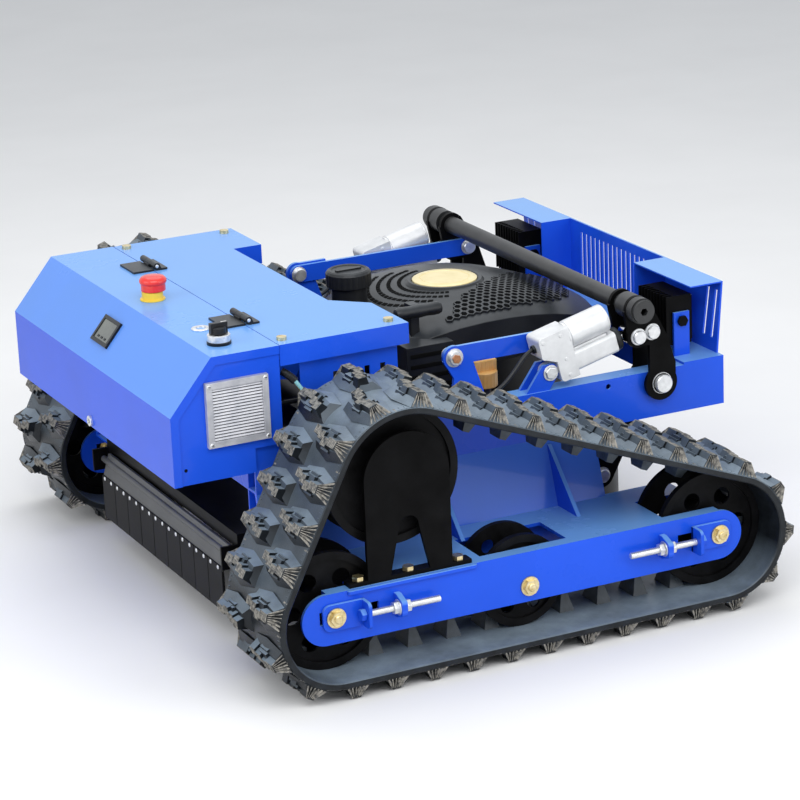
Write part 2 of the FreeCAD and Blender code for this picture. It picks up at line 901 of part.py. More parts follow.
# Track side assemblies

axles = Piece("wheel_axles")
tension = Piece("track_tensioners")
for word, sign in SIDES.items():
    side_frame("side_frame_" + word, sign)
    track_beam("track_beam_" + word, sign)
    sprocket_guard("sprocket_guard_" + word, sign)
    sprocket("sprocket_" + word, sign)
    wheel("rear_idler_" + word, sign, D.idler_radius, D.rear_idler_x, AXLE_Z)
    wheel("front_idler_" + word, sign, D.idler_radius, FRONT_IDLER_X, AXLE_Z)
    wheel("mid_roller_" + word, sign, D.roller_radius, D.roller_x, ROLLER_Z)

    spots = [(D.rear_idler_x, AXLE_Z), (FRONT_IDLER_X, AXLE_Z)]
    yoke_face = D.beam_outer + D.yoke_thick
    nut_face = D.beam_inner - D.axle_head_thick
    low, high = side_span(sign, D.beam_inner, yoke_face)
    axles.pad("XZ_Plane", [circle(a, b, D.axle_radius) for a, b in spots], low, high)
    low, high = side_span(sign, yoke_face, yoke_face + D.axle_head_thick)
    axles.pad("XZ_Plane", [hexagon(a, b, D.axle_head_radius) for a, b in spots], low, high)
    low, high = side_span(sign, D.beam_inner, D.beam_outer)
    roller_spot = (D.roller_x, ROLLER_Z)
    axles.pad("XZ_Plane", [circle(*roller_spot, D.axle_radius)], low, high)
    low, high = side_span(sign, D.beam_outer, D.beam_outer + D.axle_head_thick)
    axles.pad("XZ_Plane", [hexagon(*roller_spot, D.axle_head_radius)], low, high)
    low, high = side_span(sign, nut_face, D.beam_inner)
    nuts = [hexagon(a, b, D.axle_head_radius) for a, b in spots + [roller_spot]]
    axles.pad("XZ_Plane", nuts, low, high)
    hubs = side_span(sign, D.beam_inner + D.beam_wall, D.track_offset - D.wheel_half_width - D.side_gap)
    collars = [circle(a, b, D.axle_radius + D.tension_rod_radius) for a, b in spots + [roller_spot]]
    axles.pad("XZ_Plane", collars, *hubs)
    hubs = side_span(sign, D.track_offset + D.wheel_half_width + D.side_gap, D.beam_outer - D.beam_wall)
    axles.pad("XZ_Plane", collars, *hubs)

    rod_y = sign * (D.beam_outer + D.yoke_thick + D.nut_radius)
    for axle, toward in ((D.rear_idler_x, 1), (FRONT_IDLER_X, -1)):
        def run(first, second):
            ends = [axle + toward * first, axle + toward * second]
            return sorted(ends, key=lambda size: size.value)
        half = D.yoke_height / 2
        ends = run(-half, D.yoke_length)
        low, high = side_span(sign, D.beam_outer, D.beam_outer + D.yoke_thick)
        plate = rectangle(ends[0], AXLE_Z - half, ends[1], AXLE_Z + half)
        tension.pad("XZ_Plane", [plate, circle(axle, AXLE_Z, D.axle_radius)], low, high)
        low, high = side_span(sign, D.beam_outer, D.beam_outer + D.yoke_thick + D.yoke_tab)
        ends = run(D.yoke_length - D.yoke_thick, D.yoke_length)
        tension.pad("XZ_Plane", [rectangle(ends[0], AXLE_Z - half, ends[1], AXLE_Z + half)], low, high)
        half = D.anchor_height / 2
        ends = run(D.anchor_reach - D.anchor_thick, D.anchor_reach)
        tension.pad("XZ_Plane", [rectangle(ends[0], AXLE_Z - half, ends[1], AXLE_Z + half)], low, high)
        ends = run(D.yoke_length - D.yoke_thick - D.nut_thick, D.tension_rod_end)
        tension.pad("YZ_Plane", [circle(rod_y, AXLE_Z, D.tension_rod_radius)], *ends)
        starts = (D.yoke_length, D.anchor_reach - D.anchor_thick - D.nut_thick, D.anchor_reach)
        for place in starts:
            tension.pad("YZ_Plane", [hexagon(rod_y, AXLE_Z, D.nut_radius)], *run(place, place + D.nut_thick))

right_belt = track_belt("track_belt_right", -1)
left_belt = doc.addObject("Part::Mirroring", "track_belt_left")
left_belt.Label = "track_belt_left"
left_belt.Source = right_belt
left_belt.Normal = Vector(0, 1, 0)
PIECES.append(left_belt)

# Cross members of the frame, platform, guard and lamps

rail_inner = D.rail_outer - D.rail_width
rail_top = D.rail_bottom + D.rail_height
platform_top = rail_top + D.platform_thick

bulkhead = Piece("rear_bulkhead")
outline = rectangle(D.rail_rear, D.rail_bottom, D.rail_rear + D.bulkhead_length, rail_top)
hollow = rectangle(D.rail_rear + D.rail_wall, D.rail_bottom + D.rail_wall,
                   D.rail_rear + D.bulkhead_length - D.rail_wall, rail_top - D.rail_wall)
bulkhead.pad("XZ_Plane", [outline, hollow], -rail_inner, rail_inner)

platform = Piece("front_platform")
platform.pad("XY_Plane", [rectangle(D.platform_rear, -D.rail_outer, D.front_end, D.rail_outer)],
             rail_top, platform_top)
outline = rectangle(D.front_end - D.crossbar_length, rail_top - D.crossbar_height, D.front_end, rail_top)
hollow = rectangle(D.front_end - D.crossbar_length + D.rail_wall,
                   rail_top - D.crossbar_height + D.rail_wall,
                   D.front_end - D.rail_wall, rail_top - D.rail_wall)
platform.pad("XZ_Plane", [outline, hollow], -rail_inner, rail_inner)

guard = Piece("front_guard")
plate_rear = D.front_end - D.guard_thick
foot_edge = D.rail_outer - D.guard_foot_inset
plate = [(-foot_edge, platform_top), (foot_edge, platform_top),
         (D.rail_outer, D.guard_top), (-D.rail_outer, D.guard_top)]
guard.pad("YZ_Plane", [plate], plate_rear, D.front_end)
for sign in (-1, 1):
    low, high = side_span(sign, D.hood_inner, D.rail_outer)
    guard.pad("XY_Plane", [rectangle(D.hood_rear, low, plate_rear, high)],
              D.guard_top - D.hood_sheet, D.guard_top)
    low, high = side_span(sign, D.hood_inner, D.hood_inner + D.hood_sheet)
    guard.pad("XY_Plane", [rectangle(D.hood_rear, low, plate_rear, high)], platform_top, D.guard_top)
slot_low, slot_high = platform_top + D.slot_foot, D.guard_top - D.slot_head
slots = []
for index in range(GUARD_SLOTS):
    middle = D.slot_pitch * (index - (GUARD_SLOTS - 1) / 2)
    slots.append(rectangle(middle - D.slot_width / 2, slot_low, middle + D.slot_width / 2, slot_high))
for sign in (-1, 1):
    for step in (1, 2.6):
        top = sign * (D.rail_outer - D.slot_pitch * step)
        foot = sign * (foot_edge - D.slot_pitch * step)
        half = D.slot_width / 2
        slots.append([(foot - half, slot_low), (foot + half, slot_low),
                      (top + half, slot_high), (top - half, slot_high)])
guard.cut("YZ_Plane", slots, plate_rear - D.overrun, D.front_end + D.overrun)

arm_top = D.lamp_z + D.lamp_bracket_width / 2
for sign in (-1, 1):
    centre = sign * D.lamp_y
    reach = D.lamp_width / 2 + D.side_gap
    span = (centre - reach - D.lamp_arm, centre + reach + D.lamp_arm)
    half = D.lamp_bracket_width / 2
    flat = rectangle(D.lamp_x - half, span[0], D.lamp_x + half, span[1])
    platform.pad("XY_Plane", [flat], platform_top, platform_top + D.lamp_arm)
    pin = circle(D.lamp_x, D.lamp_z, D.lamp_pin_radius + D.running_gap)
    arm = rectangle(D.lamp_x - half, platform_top, D.lamp_x + half, arm_top)
    platform.pad("XZ_Plane", [arm, pin], span[0], span[0] + D.lamp_arm)
    platform.pad("XZ_Plane", [arm, pin], span[1] - D.lamp_arm, span[1])

for word, sign in SIDES.items():
    lamp = Piece("lamp_" + word)
    centre, wide = sign * D.lamp_y, D.lamp_width / 2
    half, tall = D.lamp_depth / 2, D.lamp_height / 2
    body = rectangle(-half + D.lamp_fin, -tall, half - D.lamp_lens, tall)
    lamp.pad("XZ_Plane", [body], -wide, wide)
    ledge = rectangle(half - D.lamp_lens, -tall + D.lamp_lens, half, tall - D.lamp_lens)
    lamp.pad("XZ_Plane", [ledge], -wide + D.lamp_lens, wide - D.lamp_lens)
    fins = int(round((D.lamp_width / (D.lamp_fin_thick * 4)).value))
    step = (D.lamp_width - D.lamp_fin_thick) / (fins - 1)
    for index in range(fins):
        start = -wide + step * index
        lamp.pad("XZ_Plane", [rectangle(-half, -tall, -half + D.lamp_fin, tall)],
                 start, start + D.lamp_fin_thick)
    reach = wide + D.side_gap + D.lamp_arm + D.side_gap
    lamp.pad("XZ_Plane", [circle(ZERO, ZERO, D.lamp_pin_radius)], -reach, reach)
    lamp.pad("XZ_Plane", [hexagon(ZERO, ZERO, D.bolt_head_radius)], reach, reach + D.lamp_arm)
    lamp.pad("XZ_Plane", [hexagon(ZERO, ZERO, D.bolt_head_radius)], -reach - D.lamp_arm, -reach)
    lamp.place(D.lamp_x, centre, D.lamp_z)

# Electronics box and lid

slope_rise = D.box_top - D.box_knee
slope_length = hypot(D.slope_run, slope_rise)
wall_turn = (slope_length - slope_rise) / D.slope_run
roof_turn = (slope_length - D.slope_run) / slope_rise


def shell_line(inset, front):
    """Side outline of the box at a distance inside the outer skin, from the rear foot to the front."""
    return [(-D.box_rear + inset, D.box_bottom), (-D.box_rear + inset, D.box_knee - inset * wall_turn),
            (-D.box_rear + D.slope_run + inset * roof_turn, D.box_top - inset),
            (front, D.box_top - inset)]


inner_face = D.sheet + D.lid_gap
box = Piece("control_box")
step = D.rail_rear
front_wall = D.lid_front
box_half = D.box_half - D.sheet - D.lid_gap
side = shell_line(inner_face, front_wall) + [(front_wall, rail_top), (step, rail_top), (step, D.box_bottom)]
box.pad("XZ_Plane", [side], -box_half, box_half)
room = [(-D.box_rear, D.box_bottom + D.sheet), (-D.box_rear, D.box_top + D.overrun),
        (front_wall - D.sheet, D.box_top + D.overrun), (front_wall - D.sheet, rail_top + D.sheet),
        (step - D.sheet, rail_top + D.sheet), (step - D.sheet, D.box_bottom + D.sheet)]
box.cut("XZ_Plane", [room], -box_half + D.sheet, box_half - D.sheet)
vent_reach = D.filter_size / 2 - D.filter_border
vent = rectangle(D.filter_x - vent_reach, D.filter_z - vent_reach,
                 D.filter_x + vent_reach, D.filter_z + vent_reach)
box.cut("XZ_Plane", [vent], -box_half - D.overrun, -box_half + D.sheet + D.overrun)

lid = Piece("box_lid")
roof = shell_line(ZERO, D.lid_front) + shell_line(D.sheet, D.lid_front)[::-1]
lid.pad("XZ_Plane", [roof], -D.box_half, D.box_half)
rim = shell_line(ZERO, D.lid_front) + shell_line(D.lid_flange, D.lid_front)[::-1]
both_sides(lid, "XZ_Plane", [rim], D.box_half - D.sheet, D.box_half)
holes = [circle(D.stop_x, ZERO, D.stop_stem_radius + D.running_gap),
         circle(D.selector_x, D.selector_y, D.stop_stem_radius + D.running_gap)]
lid.cut("XY_Plane", holes, D.box_top - D.sheet - D.overrun, D.box_top + D.overrun)
hole = circle(D.latch_y, D.latch_z, D.latch_stem_radius + D.running_gap)
lid.cut("YZ_Plane", [hole], -D.box_rear - D.overrun, -D.box_rear + D.sheet + D.overrun)

hinge_z = D.box_top + D.hinge_rise
leaves = Piece("lid_hinge_leaves")
base_leaves = Piece("cover_hinge_leaves")
for sign in (-1, 1):
    centre = sign * D.hinge_offset
    half = D.hinge_length / 2
    third = D.hinge_length / 6
    leaf_top = D.box_top + D.hinge_leaf_thick
    rear = D.lid_front - D.hinge_leaf_length
    leaves.pad("XY_Plane", [rectangle(rear, centre - half, D.lid_front, centre + half)],
               D.box_top, leaf_top)
    bore = D.hinge_pin_radius + D.running_gap
    knuckle = [circle(D.hinge_x, hinge_z, D.hinge_radius), circle(D.hinge_x, hinge_z, bore)]
    strap = [(D.hinge_x - D.hinge_radius - D.sheet, leaf_top - D.hinge_leaf_thick),
             (D.hinge_x - D.hinge_radius - D.sheet, hinge_z),
             (D.hinge_x - D.hinge_radius + D.sheet / 2, hinge_z),
             (D.hinge_x - D.hinge_radius + D.sheet / 2, leaf_top - D.hinge_leaf_thick)]
    inner, outer = centre - third + D.side_gap / 2, centre + third - D.side_gap / 2
    leaves.pad("XZ_Plane", [strap], inner, outer)
    leaves.pad("XZ_Plane", knuckle, inner, outer)
    base_rear = D.hinge_x + D.hinge_radius + D.seat_gap
    front = D.hinge_x + D.hinge_leaf_length / 2
    flat = [(base_rear, D.box_top), (front, D.box_top), (front, leaf_top), (base_rear, leaf_top)]
    base_leaves.pad("XZ_Plane", [flat], centre - half, centre + half)
    post_front = D.hinge_x + D.hinge_radius
    post = [(D.hinge_x, D.box_top), (post_front + D.sheet, D.box_top),
            (post_front + D.sheet, leaf_top), (post_front, hinge_z), (D.hinge_x, hinge_z)]
    for low, high in ((centre - half, centre - third), (centre + third, centre + half)):
        base_leaves.pad("XZ_Plane", [post], low, high)
        base_leaves.pad("XZ_Plane", [circle(D.hinge_x, hinge_z, D.hinge_radius)], low, high)
    base_leaves.pad("XZ_Plane", [circle(D.hinge_x, hinge_z, D.hinge_pin_radius)],
                    centre - half, centre + half)

fittings = Piece("panel_fittings")
fittings.pad("XY_Plane", [circle(D.stop_x, ZERO, D.stop_collar_radius),
                          circle(D.stop_x, ZERO, D.stop_stem_radius + D.running_gap)],
             D.box_top, D.box_top + D.stop_collar_height)
fittings.pad("XY_Plane", [circle(D.selector_x, D.selector_y, D.selector_radius),
                          circle(D.selector_x, D.selector_y, D.stop_stem_radius + D.running_gap)],
             D.box_top, D.box_top + D.selector_bezel_height)
ring_hole = D.ring_radius / 2
fittings.pad("XY_Plane", [circle(D.stop_x, D.ring_y, D.ring_radius),
                          circle(D.stop_x, D.ring_y, ring_hole)], D.box_top, D.box_top + D.ring_thick)

stop = Piece("stop_button")
rest = D.box_top + D.stop_collar_height + D.stop_travel + D.side_gap
stop.pad("XY_Plane", [circle(D.stop_x, ZERO, D.stop_stem_radius)],
         D.box_top - D.sheet - D.stop_travel, rest)
stop.pad("XY_Plane", [circle(D.stop_x, ZERO, D.stop_neck_radius)], rest, rest + D.stop_head_height / 2)
stop.pad("XY_Plane", [circle(D.stop_x, ZERO, D.stop_head_radius)],
         rest + D.stop_head_height / 2, rest + D.stop_head_height)

selector = Piece("selector_knob")
rest = D.box_top + D.selector_bezel_height + D.running_gap
selector.pad("XY_Plane", [circle(D.selector_x, D.selector_y, D.stop_stem_radius)],
             D.box_top - D.sheet - D.stop_travel, rest)
selector.pad("XY_Plane", [circle(D.selector_x, D.selector_y, D.selector_knob_radius)],
             rest, rest + D.selector_knob_height / 2)
grip = rectangle(D.selector_x - D.selector_knob_radius - D.overrun, D.selector_y - D.selector_grip / 2,
                 D.selector_x + D.selector_knob_radius + D.overrun, D.selector_y + D.selector_grip / 2)
selector.pad("XY_Plane", [grip], rest, rest + D.selector_knob_height)

meter = Piece("display_meter")
unit_run, unit_rise = D.slope_run / slope_length, slope_rise / slope_length


def on_slope(along, out):
    """A point on the sloped face, along it from the knee and out from it."""
    return (-D.box_rear + along * unit_run - out * unit_rise, D.box_knee + along * unit_rise + out * unit_run)


low, high = D.meter_along - D.meter_length / 2, D.meter_along + D.meter_length / 2
case = [on_slope(low, ZERO), on_slope(high, ZERO), on_slope(high, D.meter_thick), on_slope(low, D.meter_thick)]
meter.pad("XZ_Plane", [case], -D.meter_width / 2, D.meter_width / 2)

latch = Piece("lid_latch")
face = -D.box_rear
latch.pad("YZ_Plane", [circle(D.latch_y, D.latch_z, D.latch_radius)],
          face - D.running_gap - D.latch_thick, face - D.running_gap)
latch.pad("YZ_Plane", [circle(D.latch_y, D.latch_z, D.latch_stem_radius)],
          face - D.latch_thick, face + D.latch_stem)
cam = rectangle(D.latch_y - D.latch_stem_radius, D.latch_z - D.latch_stem_radius,
                D.latch_y + D.latch_stem_radius, D.latch_z + D.latch_cam)
latch.pad("YZ_Plane", [cam], face + D.latch_stem - D.sheet, face + D.latch_stem)

# Rear cover with its walls

cover = Piece("rear_cover")


def cover_outline(inset, rear):
    """Plan of the cover: a chamfered ear at the right, a square one at the left."""
    ear, middle = D.ear_front - inset, D.cover_front - inset
    side = D.cover_half - inset
    inner = D.ear_inner + inset
    return [(rear, -side), (ear, -side), (ear, -inner), (middle, -inner + D.ear_chamfer),
            (middle, inner), (ear, inner), (ear, side), (rear, side)]


cover.pad("XY_Plane", [cover_outline(ZERO, D.cover_rear)], D.box_top - D.cover_flange, D.box_top)
cover.cut("XY_Plane", [cover_outline(D.sheet, D.cover_rear - D.overrun)],
          D.box_top - D.cover_flange - D.overrun, D.box_top - D.sheet)

walls = Piece("cover_walls")
panel = rectangle(D.wall_rear, rail_top, D.wall_front, D.box_top - D.sheet)
vents = []
for index in range(4):
    middle = D.vent_first + D.vent_pitch * index
    vents.append(rectangle(middle - D.vent_width / 2, D.vent_low, middle + D.vent_width / 2, D.vent_high))
both_sides(walls, "XZ_Plane", [panel] + vents, D.wall_offset - D.sheet, D.wall_offset)

# Fan filter, fan, and what the box holds

filter_outer = box_half + D.filter_thick
grille = Piece("fan_filter")
half = D.filter_size / 2
frame_loop = rectangle(D.filter_x - half, D.filter_z - half, D.filter_x + half, D.filter_z + half)
grille.pad("XZ_Plane", [frame_loop, vent], -filter_outer, -box_half)
count = int(((vent_reach * 2) / D.louvre_pitch).value)
step = vent_reach * 2 / count
for index in range(count):
    middle = D.filter_z - vent_reach + step * (index + 0.5)
    blade = rectangle(D.filter_x - vent_reach, middle - D.louvre_height / 2,
                      D.filter_x + vent_reach, middle + D.louvre_height / 2)
    grille.pad("XZ_Plane", [blade], -filter_outer + D.sheet, -filter_outer + D.sheet * 2)
mull = D.louvre_height / 2
for part in (-0.33, 0.33):
    middle = D.filter_x + vent_reach * part
    post = rectangle(middle - mull / 2, D.filter_z - vent_reach, middle + mull / 2, D.filter_z + vent_reach)
    grille.pad("XZ_Plane", [post], -filter_outer + D.sheet, -filter_outer + D.sheet * 2)

fan_case = Piece("fan_housing")
fan_outer = -box_half + D.sheet
half = D.fan_size / 2
square = rectangle(D.filter_x - half, D.filter_z - half, D.filter_x + half, D.filter_z + half)
fan_case.pad("XZ_Plane", [square, circle(D.filter_x, D.filter_z, half - D.fan_wall)],
             fan_outer, fan_outer + D.fan_depth)
strut = rectangle(D.filter_x - half + D.fan_wall / 2, D.filter_z - D.fan_wall,
                  D.filter_x + half - D.fan_wall / 2, D.filter_z + D.fan_wall)
fan_case.pad("XZ_Plane", [strut], fan_outer + D.fan_depth - D.fan_wall, fan_outer + D.fan_depth)
pin_start = fan_outer + D.fan_wall
fan_case.pad("XZ_Plane", [circle(D.filter_x, D.filter_z, D.hinge_pin_radius)],
             pin_start, fan_outer + D.fan_depth)

fan = Piece("fan_rotor")
fan_start, fan_end = fan_outer + D.fan_wall, fan_outer + D.fan_depth - D.fan_wall - D.fan_gap
hub = [circle(D.filter_x, D.filter_z, D.fan_hub),
       circle(D.filter_x, D.filter_z, D.hinge_pin_radius + D.running_gap)]
fan.pad("XZ_Plane", hub, fan_start, fan_end)
tip = half - D.fan_wall - D.fan_gap
for index in range(FAN_BLADES):
    turn = math.radians(360.0 * index / FAN_BLADES)
    lead = math.radians(360.0 * (index + 0.55) / FAN_BLADES)
    root = (D.fan_hub - D.fan_wall)
    start = (D.filter_x + root * math.cos(turn), D.filter_z + root * math.sin(turn))
    end = (D.filter_x + tip * math.cos(lead), D.filter_z + tip * math.sin(lead))
    fan.pad("XZ_Plane", [bar(start, end, D.blade_thick / 2)], fan_start, fan_end)

cells = Piece("control_electronics")
for sign in (-1, 1):
    centre = sign * D.battery_y
    low, high = centre - D.battery_width / 2, centre + D.battery_width / 2
    block = rectangle(D.battery_x - D.battery_length / 2, low, D.battery_x + D.battery_length / 2, high)
    cells.pad("XY_Plane", [block], D.box_bottom + D.sheet, D.box_bottom + D.sheet + D.battery_height)
start = front_wall - D.sheet - D.controller_length
for sign in (-1, 1):
    centre = sign * D.controller_y
    low, high = centre - D.controller_width / 2, centre + D.controller_width / 2
    seat = rail_top + D.sheet
    case = rectangle(start + D.controller_height, seat, front_wall - D.sheet, seat + D.controller_length)
    cells.pad("XZ_Plane", [case], low, high)

motors = Piece("drive_motors")
gear_end = rail_inner - D.gearbox_width
half = D.gearbox_half
square = rectangle(SPROCKET_X - half, SPROCKET_Z - half, SPROCKET_X + half, SPROCKET_Z + half)
both_sides(motors, "XZ_Plane", [square], gear_end, rail_inner)
both_sides(motors, "XZ_Plane", [circle(SPROCKET_X, SPROCKET_Z, D.motor_can_radius)],
           gear_end - D.motor_can_length, gear_end)
both_sides(motors, "XZ_Plane", [circle(SPROCKET_X, SPROCKET_Z, D.bearing_radius - D.side_gap),
                                  circle(SPROCKET_X, SPROCKET_Z, D.shaft_radius + D.running_gap)],
           D.rail_outer, D.rail_outer + D.bearing_width)

# Lift linkage: a rocker with the cross tube in front, plain cranks behind, tie bars between them

GRIP_RIBS = 24
ROCKER_SHARES = [(-0.24, -0.1), (-0.24, 0.75), (-0.62, 0.8), (-0.68, 1.05), (-0.76, 1.45),
                 (-0.28, 1.62), (-0.06, 1.25), (0.12, 0.9), (0.3, 0.35), (0.3, 0)]
CRANK_SHARES = [(-0.28, 0.0), (-0.2, 0.61), (-0.4, 0.95), (-0.19, 1.2), (0.44, 1.2), (0.44, 0.9),
                (0.19, 0.86), (0.38, 0.29), (0.28, 0)]
EAR_SHARES = [(-1.56, -1), (-0.08, -1), (0.55, -0.1), (0.25, 0.5), (-0.47, 0.48)]

arm_outer = D.arm_inner + D.plate_thick
tie_outer = D.tie_inner + D.plate_thick
plate_outer = D.outer_plate_inner + D.plate_thick
deck_face = D.deck_half + D.washer_thick
tie_point = (-D.tie_back, D.tie_rise)
eye_point = (-D.eye_back, D.eye_rise)
tube_point = (-D.tube_back, D.tube_rise)
deck_point = (-D.arm_back, -D.arm_drop)
centre_point = (ZERO, ZERO)


def arm_parts(piece, sign, shares):
    """The plate, lower arm, pivot pin, tie pin and deck pin that a rocker and a crank share."""
    low, high = side_span(sign, D.arm_inner, arm_outer)
    piece.pad("XZ_Plane", [scaled(shares, D.tie_rise, D.tie_rise)], low, high)
    piece.pad("XZ_Plane", [circle(ZERO, ZERO, D.pivot_ring)], low, high)
    piece.pad("XZ_Plane", [circle(*tie_point, D.pin_ring)], low, high)
    piece.pad("XZ_Plane", [bar(centre_point, deck_point, D.arm_half)], low, high)
    piece.pad("XZ_Plane", [circle(*deck_point, D.arm_half)], low, high)
    low, high = side_span(sign, arm_outer, D.rail_outer + D.side_gap)
    piece.pad("XZ_Plane", [circle(ZERO, ZERO, D.pivot_pin_radius)], low, high)
    low, high = side_span(sign, arm_outer, rail_inner - D.seat_gap)
    piece.pad("XZ_Plane", [circle(ZERO, ZERO, D.big_head_radius)], low, high)
    low, high = side_span(sign, D.tie_inner - D.side_gap, D.arm_inner)
    piece.pad("XZ_Plane", [circle(*tie_point, D.pin_radius)], low, high)
    low, high = side_span(sign, D.tie_inner - D.side_gap - D.head_thick, D.tie_inner - D.side_gap)
    piece.pad("XZ_Plane", [hexagon(*tie_point, D.head_radius)], low, high)
    low, high = side_span(sign, arm_outer, arm_outer + D.head_thick)
    heads = [hexagon(*tie_point, D.head_radius), hexagon(*deck_point, D.head_radius)]
    piece.pad("XZ_Plane", heads, low, high)
    inner = D.deck_half - D.deck_wall - D.side_gap
    low, high = side_span(sign, inner, D.arm_inner)
    piece.pad("XZ_Plane", [circle(*deck_point, D.pin_radius)], low, high)
    low, high = side_span(sign, inner - D.head_thick, inner)
    piece.pad("XZ_Plane", [hexagon(*deck_point, D.head_radius)], low, high)
    low, high = side_span(sign, deck_face + D.side_gap, D.arm_inner)
    piece.pad("XZ_Plane", [circle(*deck_point, D.head_radius)], low, high)


for word, sign in SIDES.items():
    rocker = Piece("rocker_" + word)
    arm_parts(rocker, sign, ROCKER_SHARES)
    for inner in (D.arm_inner, D.outer_plate_inner):
        low, high = side_span(sign, inner, inner + D.plate_thick)
        rocker.pad("XZ_Plane", [circle(*tube_point, D.tube_radius + D.plate_thick)], low, high)
        rocker.pad("XZ_Plane", [circle(*eye_point, D.pin_ring)], low, high)
    low, high = side_span(sign, D.outer_plate_inner, plate_outer)
    rocker.pad("XZ_Plane", [scaled(ROCKER_SHARES, D.tie_rise, D.tie_rise)], low, high)
    rocker.pad("XZ_Plane", [circle(ZERO, ZERO, D.pivot_ring)], low, high)
    low, high = side_span(sign, D.rail_outer, D.outer_plate_inner)
    rocker.pad("XZ_Plane", [circle(ZERO, ZERO, D.pivot_pin_radius)], low, high)
    low, high = side_span(sign, D.rail_outer + D.seat_gap, D.outer_plate_inner)
    rocker.pad("XZ_Plane", [circle(ZERO, ZERO, D.big_head_radius)], low, high)
    low, high = side_span(sign, plate_outer, plate_outer + D.washer_thick)
    rocker.pad("XZ_Plane", [circle(ZERO, ZERO, D.big_head_radius)], low, high)
    low, high = side_span(sign, plate_outer, plate_outer + D.washer_thick + D.head_thick)
    rocker.pad("XZ_Plane", [hexagon(ZERO, ZERO, D.big_head_radius - D.washer_thick)], low, high)
    low, high = side_span(sign, D.arm_inner, plate_outer)
    rocker.pad("XZ_Plane", [circle(*eye_point, D.pin_radius)], low, high)
    low, high = side_span(sign, plate_outer, plate_outer + D.head_thick)
    rocker.pad("XZ_Plane", [hexagon(*eye_point, D.head_radius), hexagon(*tie_point, D.head_radius)],
               low, high)
    low, high = side_span(sign, D.arm_inner - D.overrun, plate_outer + D.overrun)
    rocker.cut("XZ_Plane", [circle(*tube_point, D.tube_radius)], low, high)
    rocker.place(D.pivot_front_x, ZERO, D.pivot_z)

tube = Piece("cross_tube")
tube.pad("XZ_Plane", [circle(*tube_point, D.tube_radius),
                      circle(*tube_point, D.tube_radius - D.tube_wall)], -D.tube_end, D.tube_end)
collar = [circle(*tube_point, D.fitting_radius), circle(*tube_point, D.tube_radius)]
for inner, outer in ((D.outer_plate_inner - D.fitting_length, D.outer_plate_inner), (plate_outer, D.tube_end)):
    both_sides(tube, "XZ_Plane", collar, inner, outer)
cap_end = D.tube_end + D.plate_thick
cap_hole = hexagon(*tube_point, D.pin_radius)
both_sides(tube, "XZ_Plane", [circle(*tube_point, D.fitting_radius - D.washer_thick), cap_hole],
           D.tube_end, cap_end)
tube.place(D.pivot_front_x, ZERO, D.pivot_z)

cranks = Piece("rear_cranks")
for sign in (-1, 1):
    arm_parts(cranks, sign, CRANK_SHARES)
    low, high = side_span(sign, D.rail_outer + D.side_gap, D.rail_outer + D.side_gap + D.head_thick)
    cranks.pad("XZ_Plane", [hexagon(ZERO, ZERO, D.big_head_radius)], low, high)
cranks.place(D.pivot_rear_x, ZERO, D.pivot_z)

ties = Piece("tie_bars")
tie_z = D.pivot_z + D.tie_rise
tie_front, tie_rear = D.pivot_front_x - D.tie_back, D.pivot_rear_x - D.tie_back
half = D.tie_height / 2
both_sides(ties, "XZ_Plane", [rectangle(tie_rear, tie_z - half, tie_front, tie_z + half)],
           D.tie_inner, tie_outer)
for place in (tie_rear, tie_front):
    both_sides(ties, "XZ_Plane", [circle(place, tie_z, half)], D.tie_inner, tie_outer)
bore = D.pin_radius + D.running_gap
ties.cut("XZ_Plane", [circle(tie_rear, tie_z, bore), circle(tie_front, tie_z, bore)],
         -tie_outer - D.overrun, tie_outer + D.overrun)

# Electric actuators on ears welded to the rails

ear_piece = Piece("actuator_brackets")
rise = D.clevis_z - rail_top
ear = [(D.clevis_x + across, D.clevis_z + up) for across, up in scaled(EAR_SHARES, rise, rise)]
ear_start = D.clevis_half + D.bracket_gap
for sign in (-1, 1):
    for inner in (-ear_start - D.bracket_thick, ear_start):
        low, high = sign * D.actuator_y + inner, sign * D.actuator_y + inner + D.bracket_thick
        ear_piece.pad("XZ_Plane", [ear], low, high)
        ear_piece.pad("XZ_Plane", [circle(D.clevis_x, D.clevis_z, D.clevis_radius + D.washer_thick)], low, high)
reach = D.actuator_y + ear_start + D.bracket_thick + D.overrun
pin_hole = circle(D.clevis_x, D.clevis_z, D.pin_radius + D.running_gap)
ear_piece.cut("XZ_Plane", [pin_hole], -reach, reach)

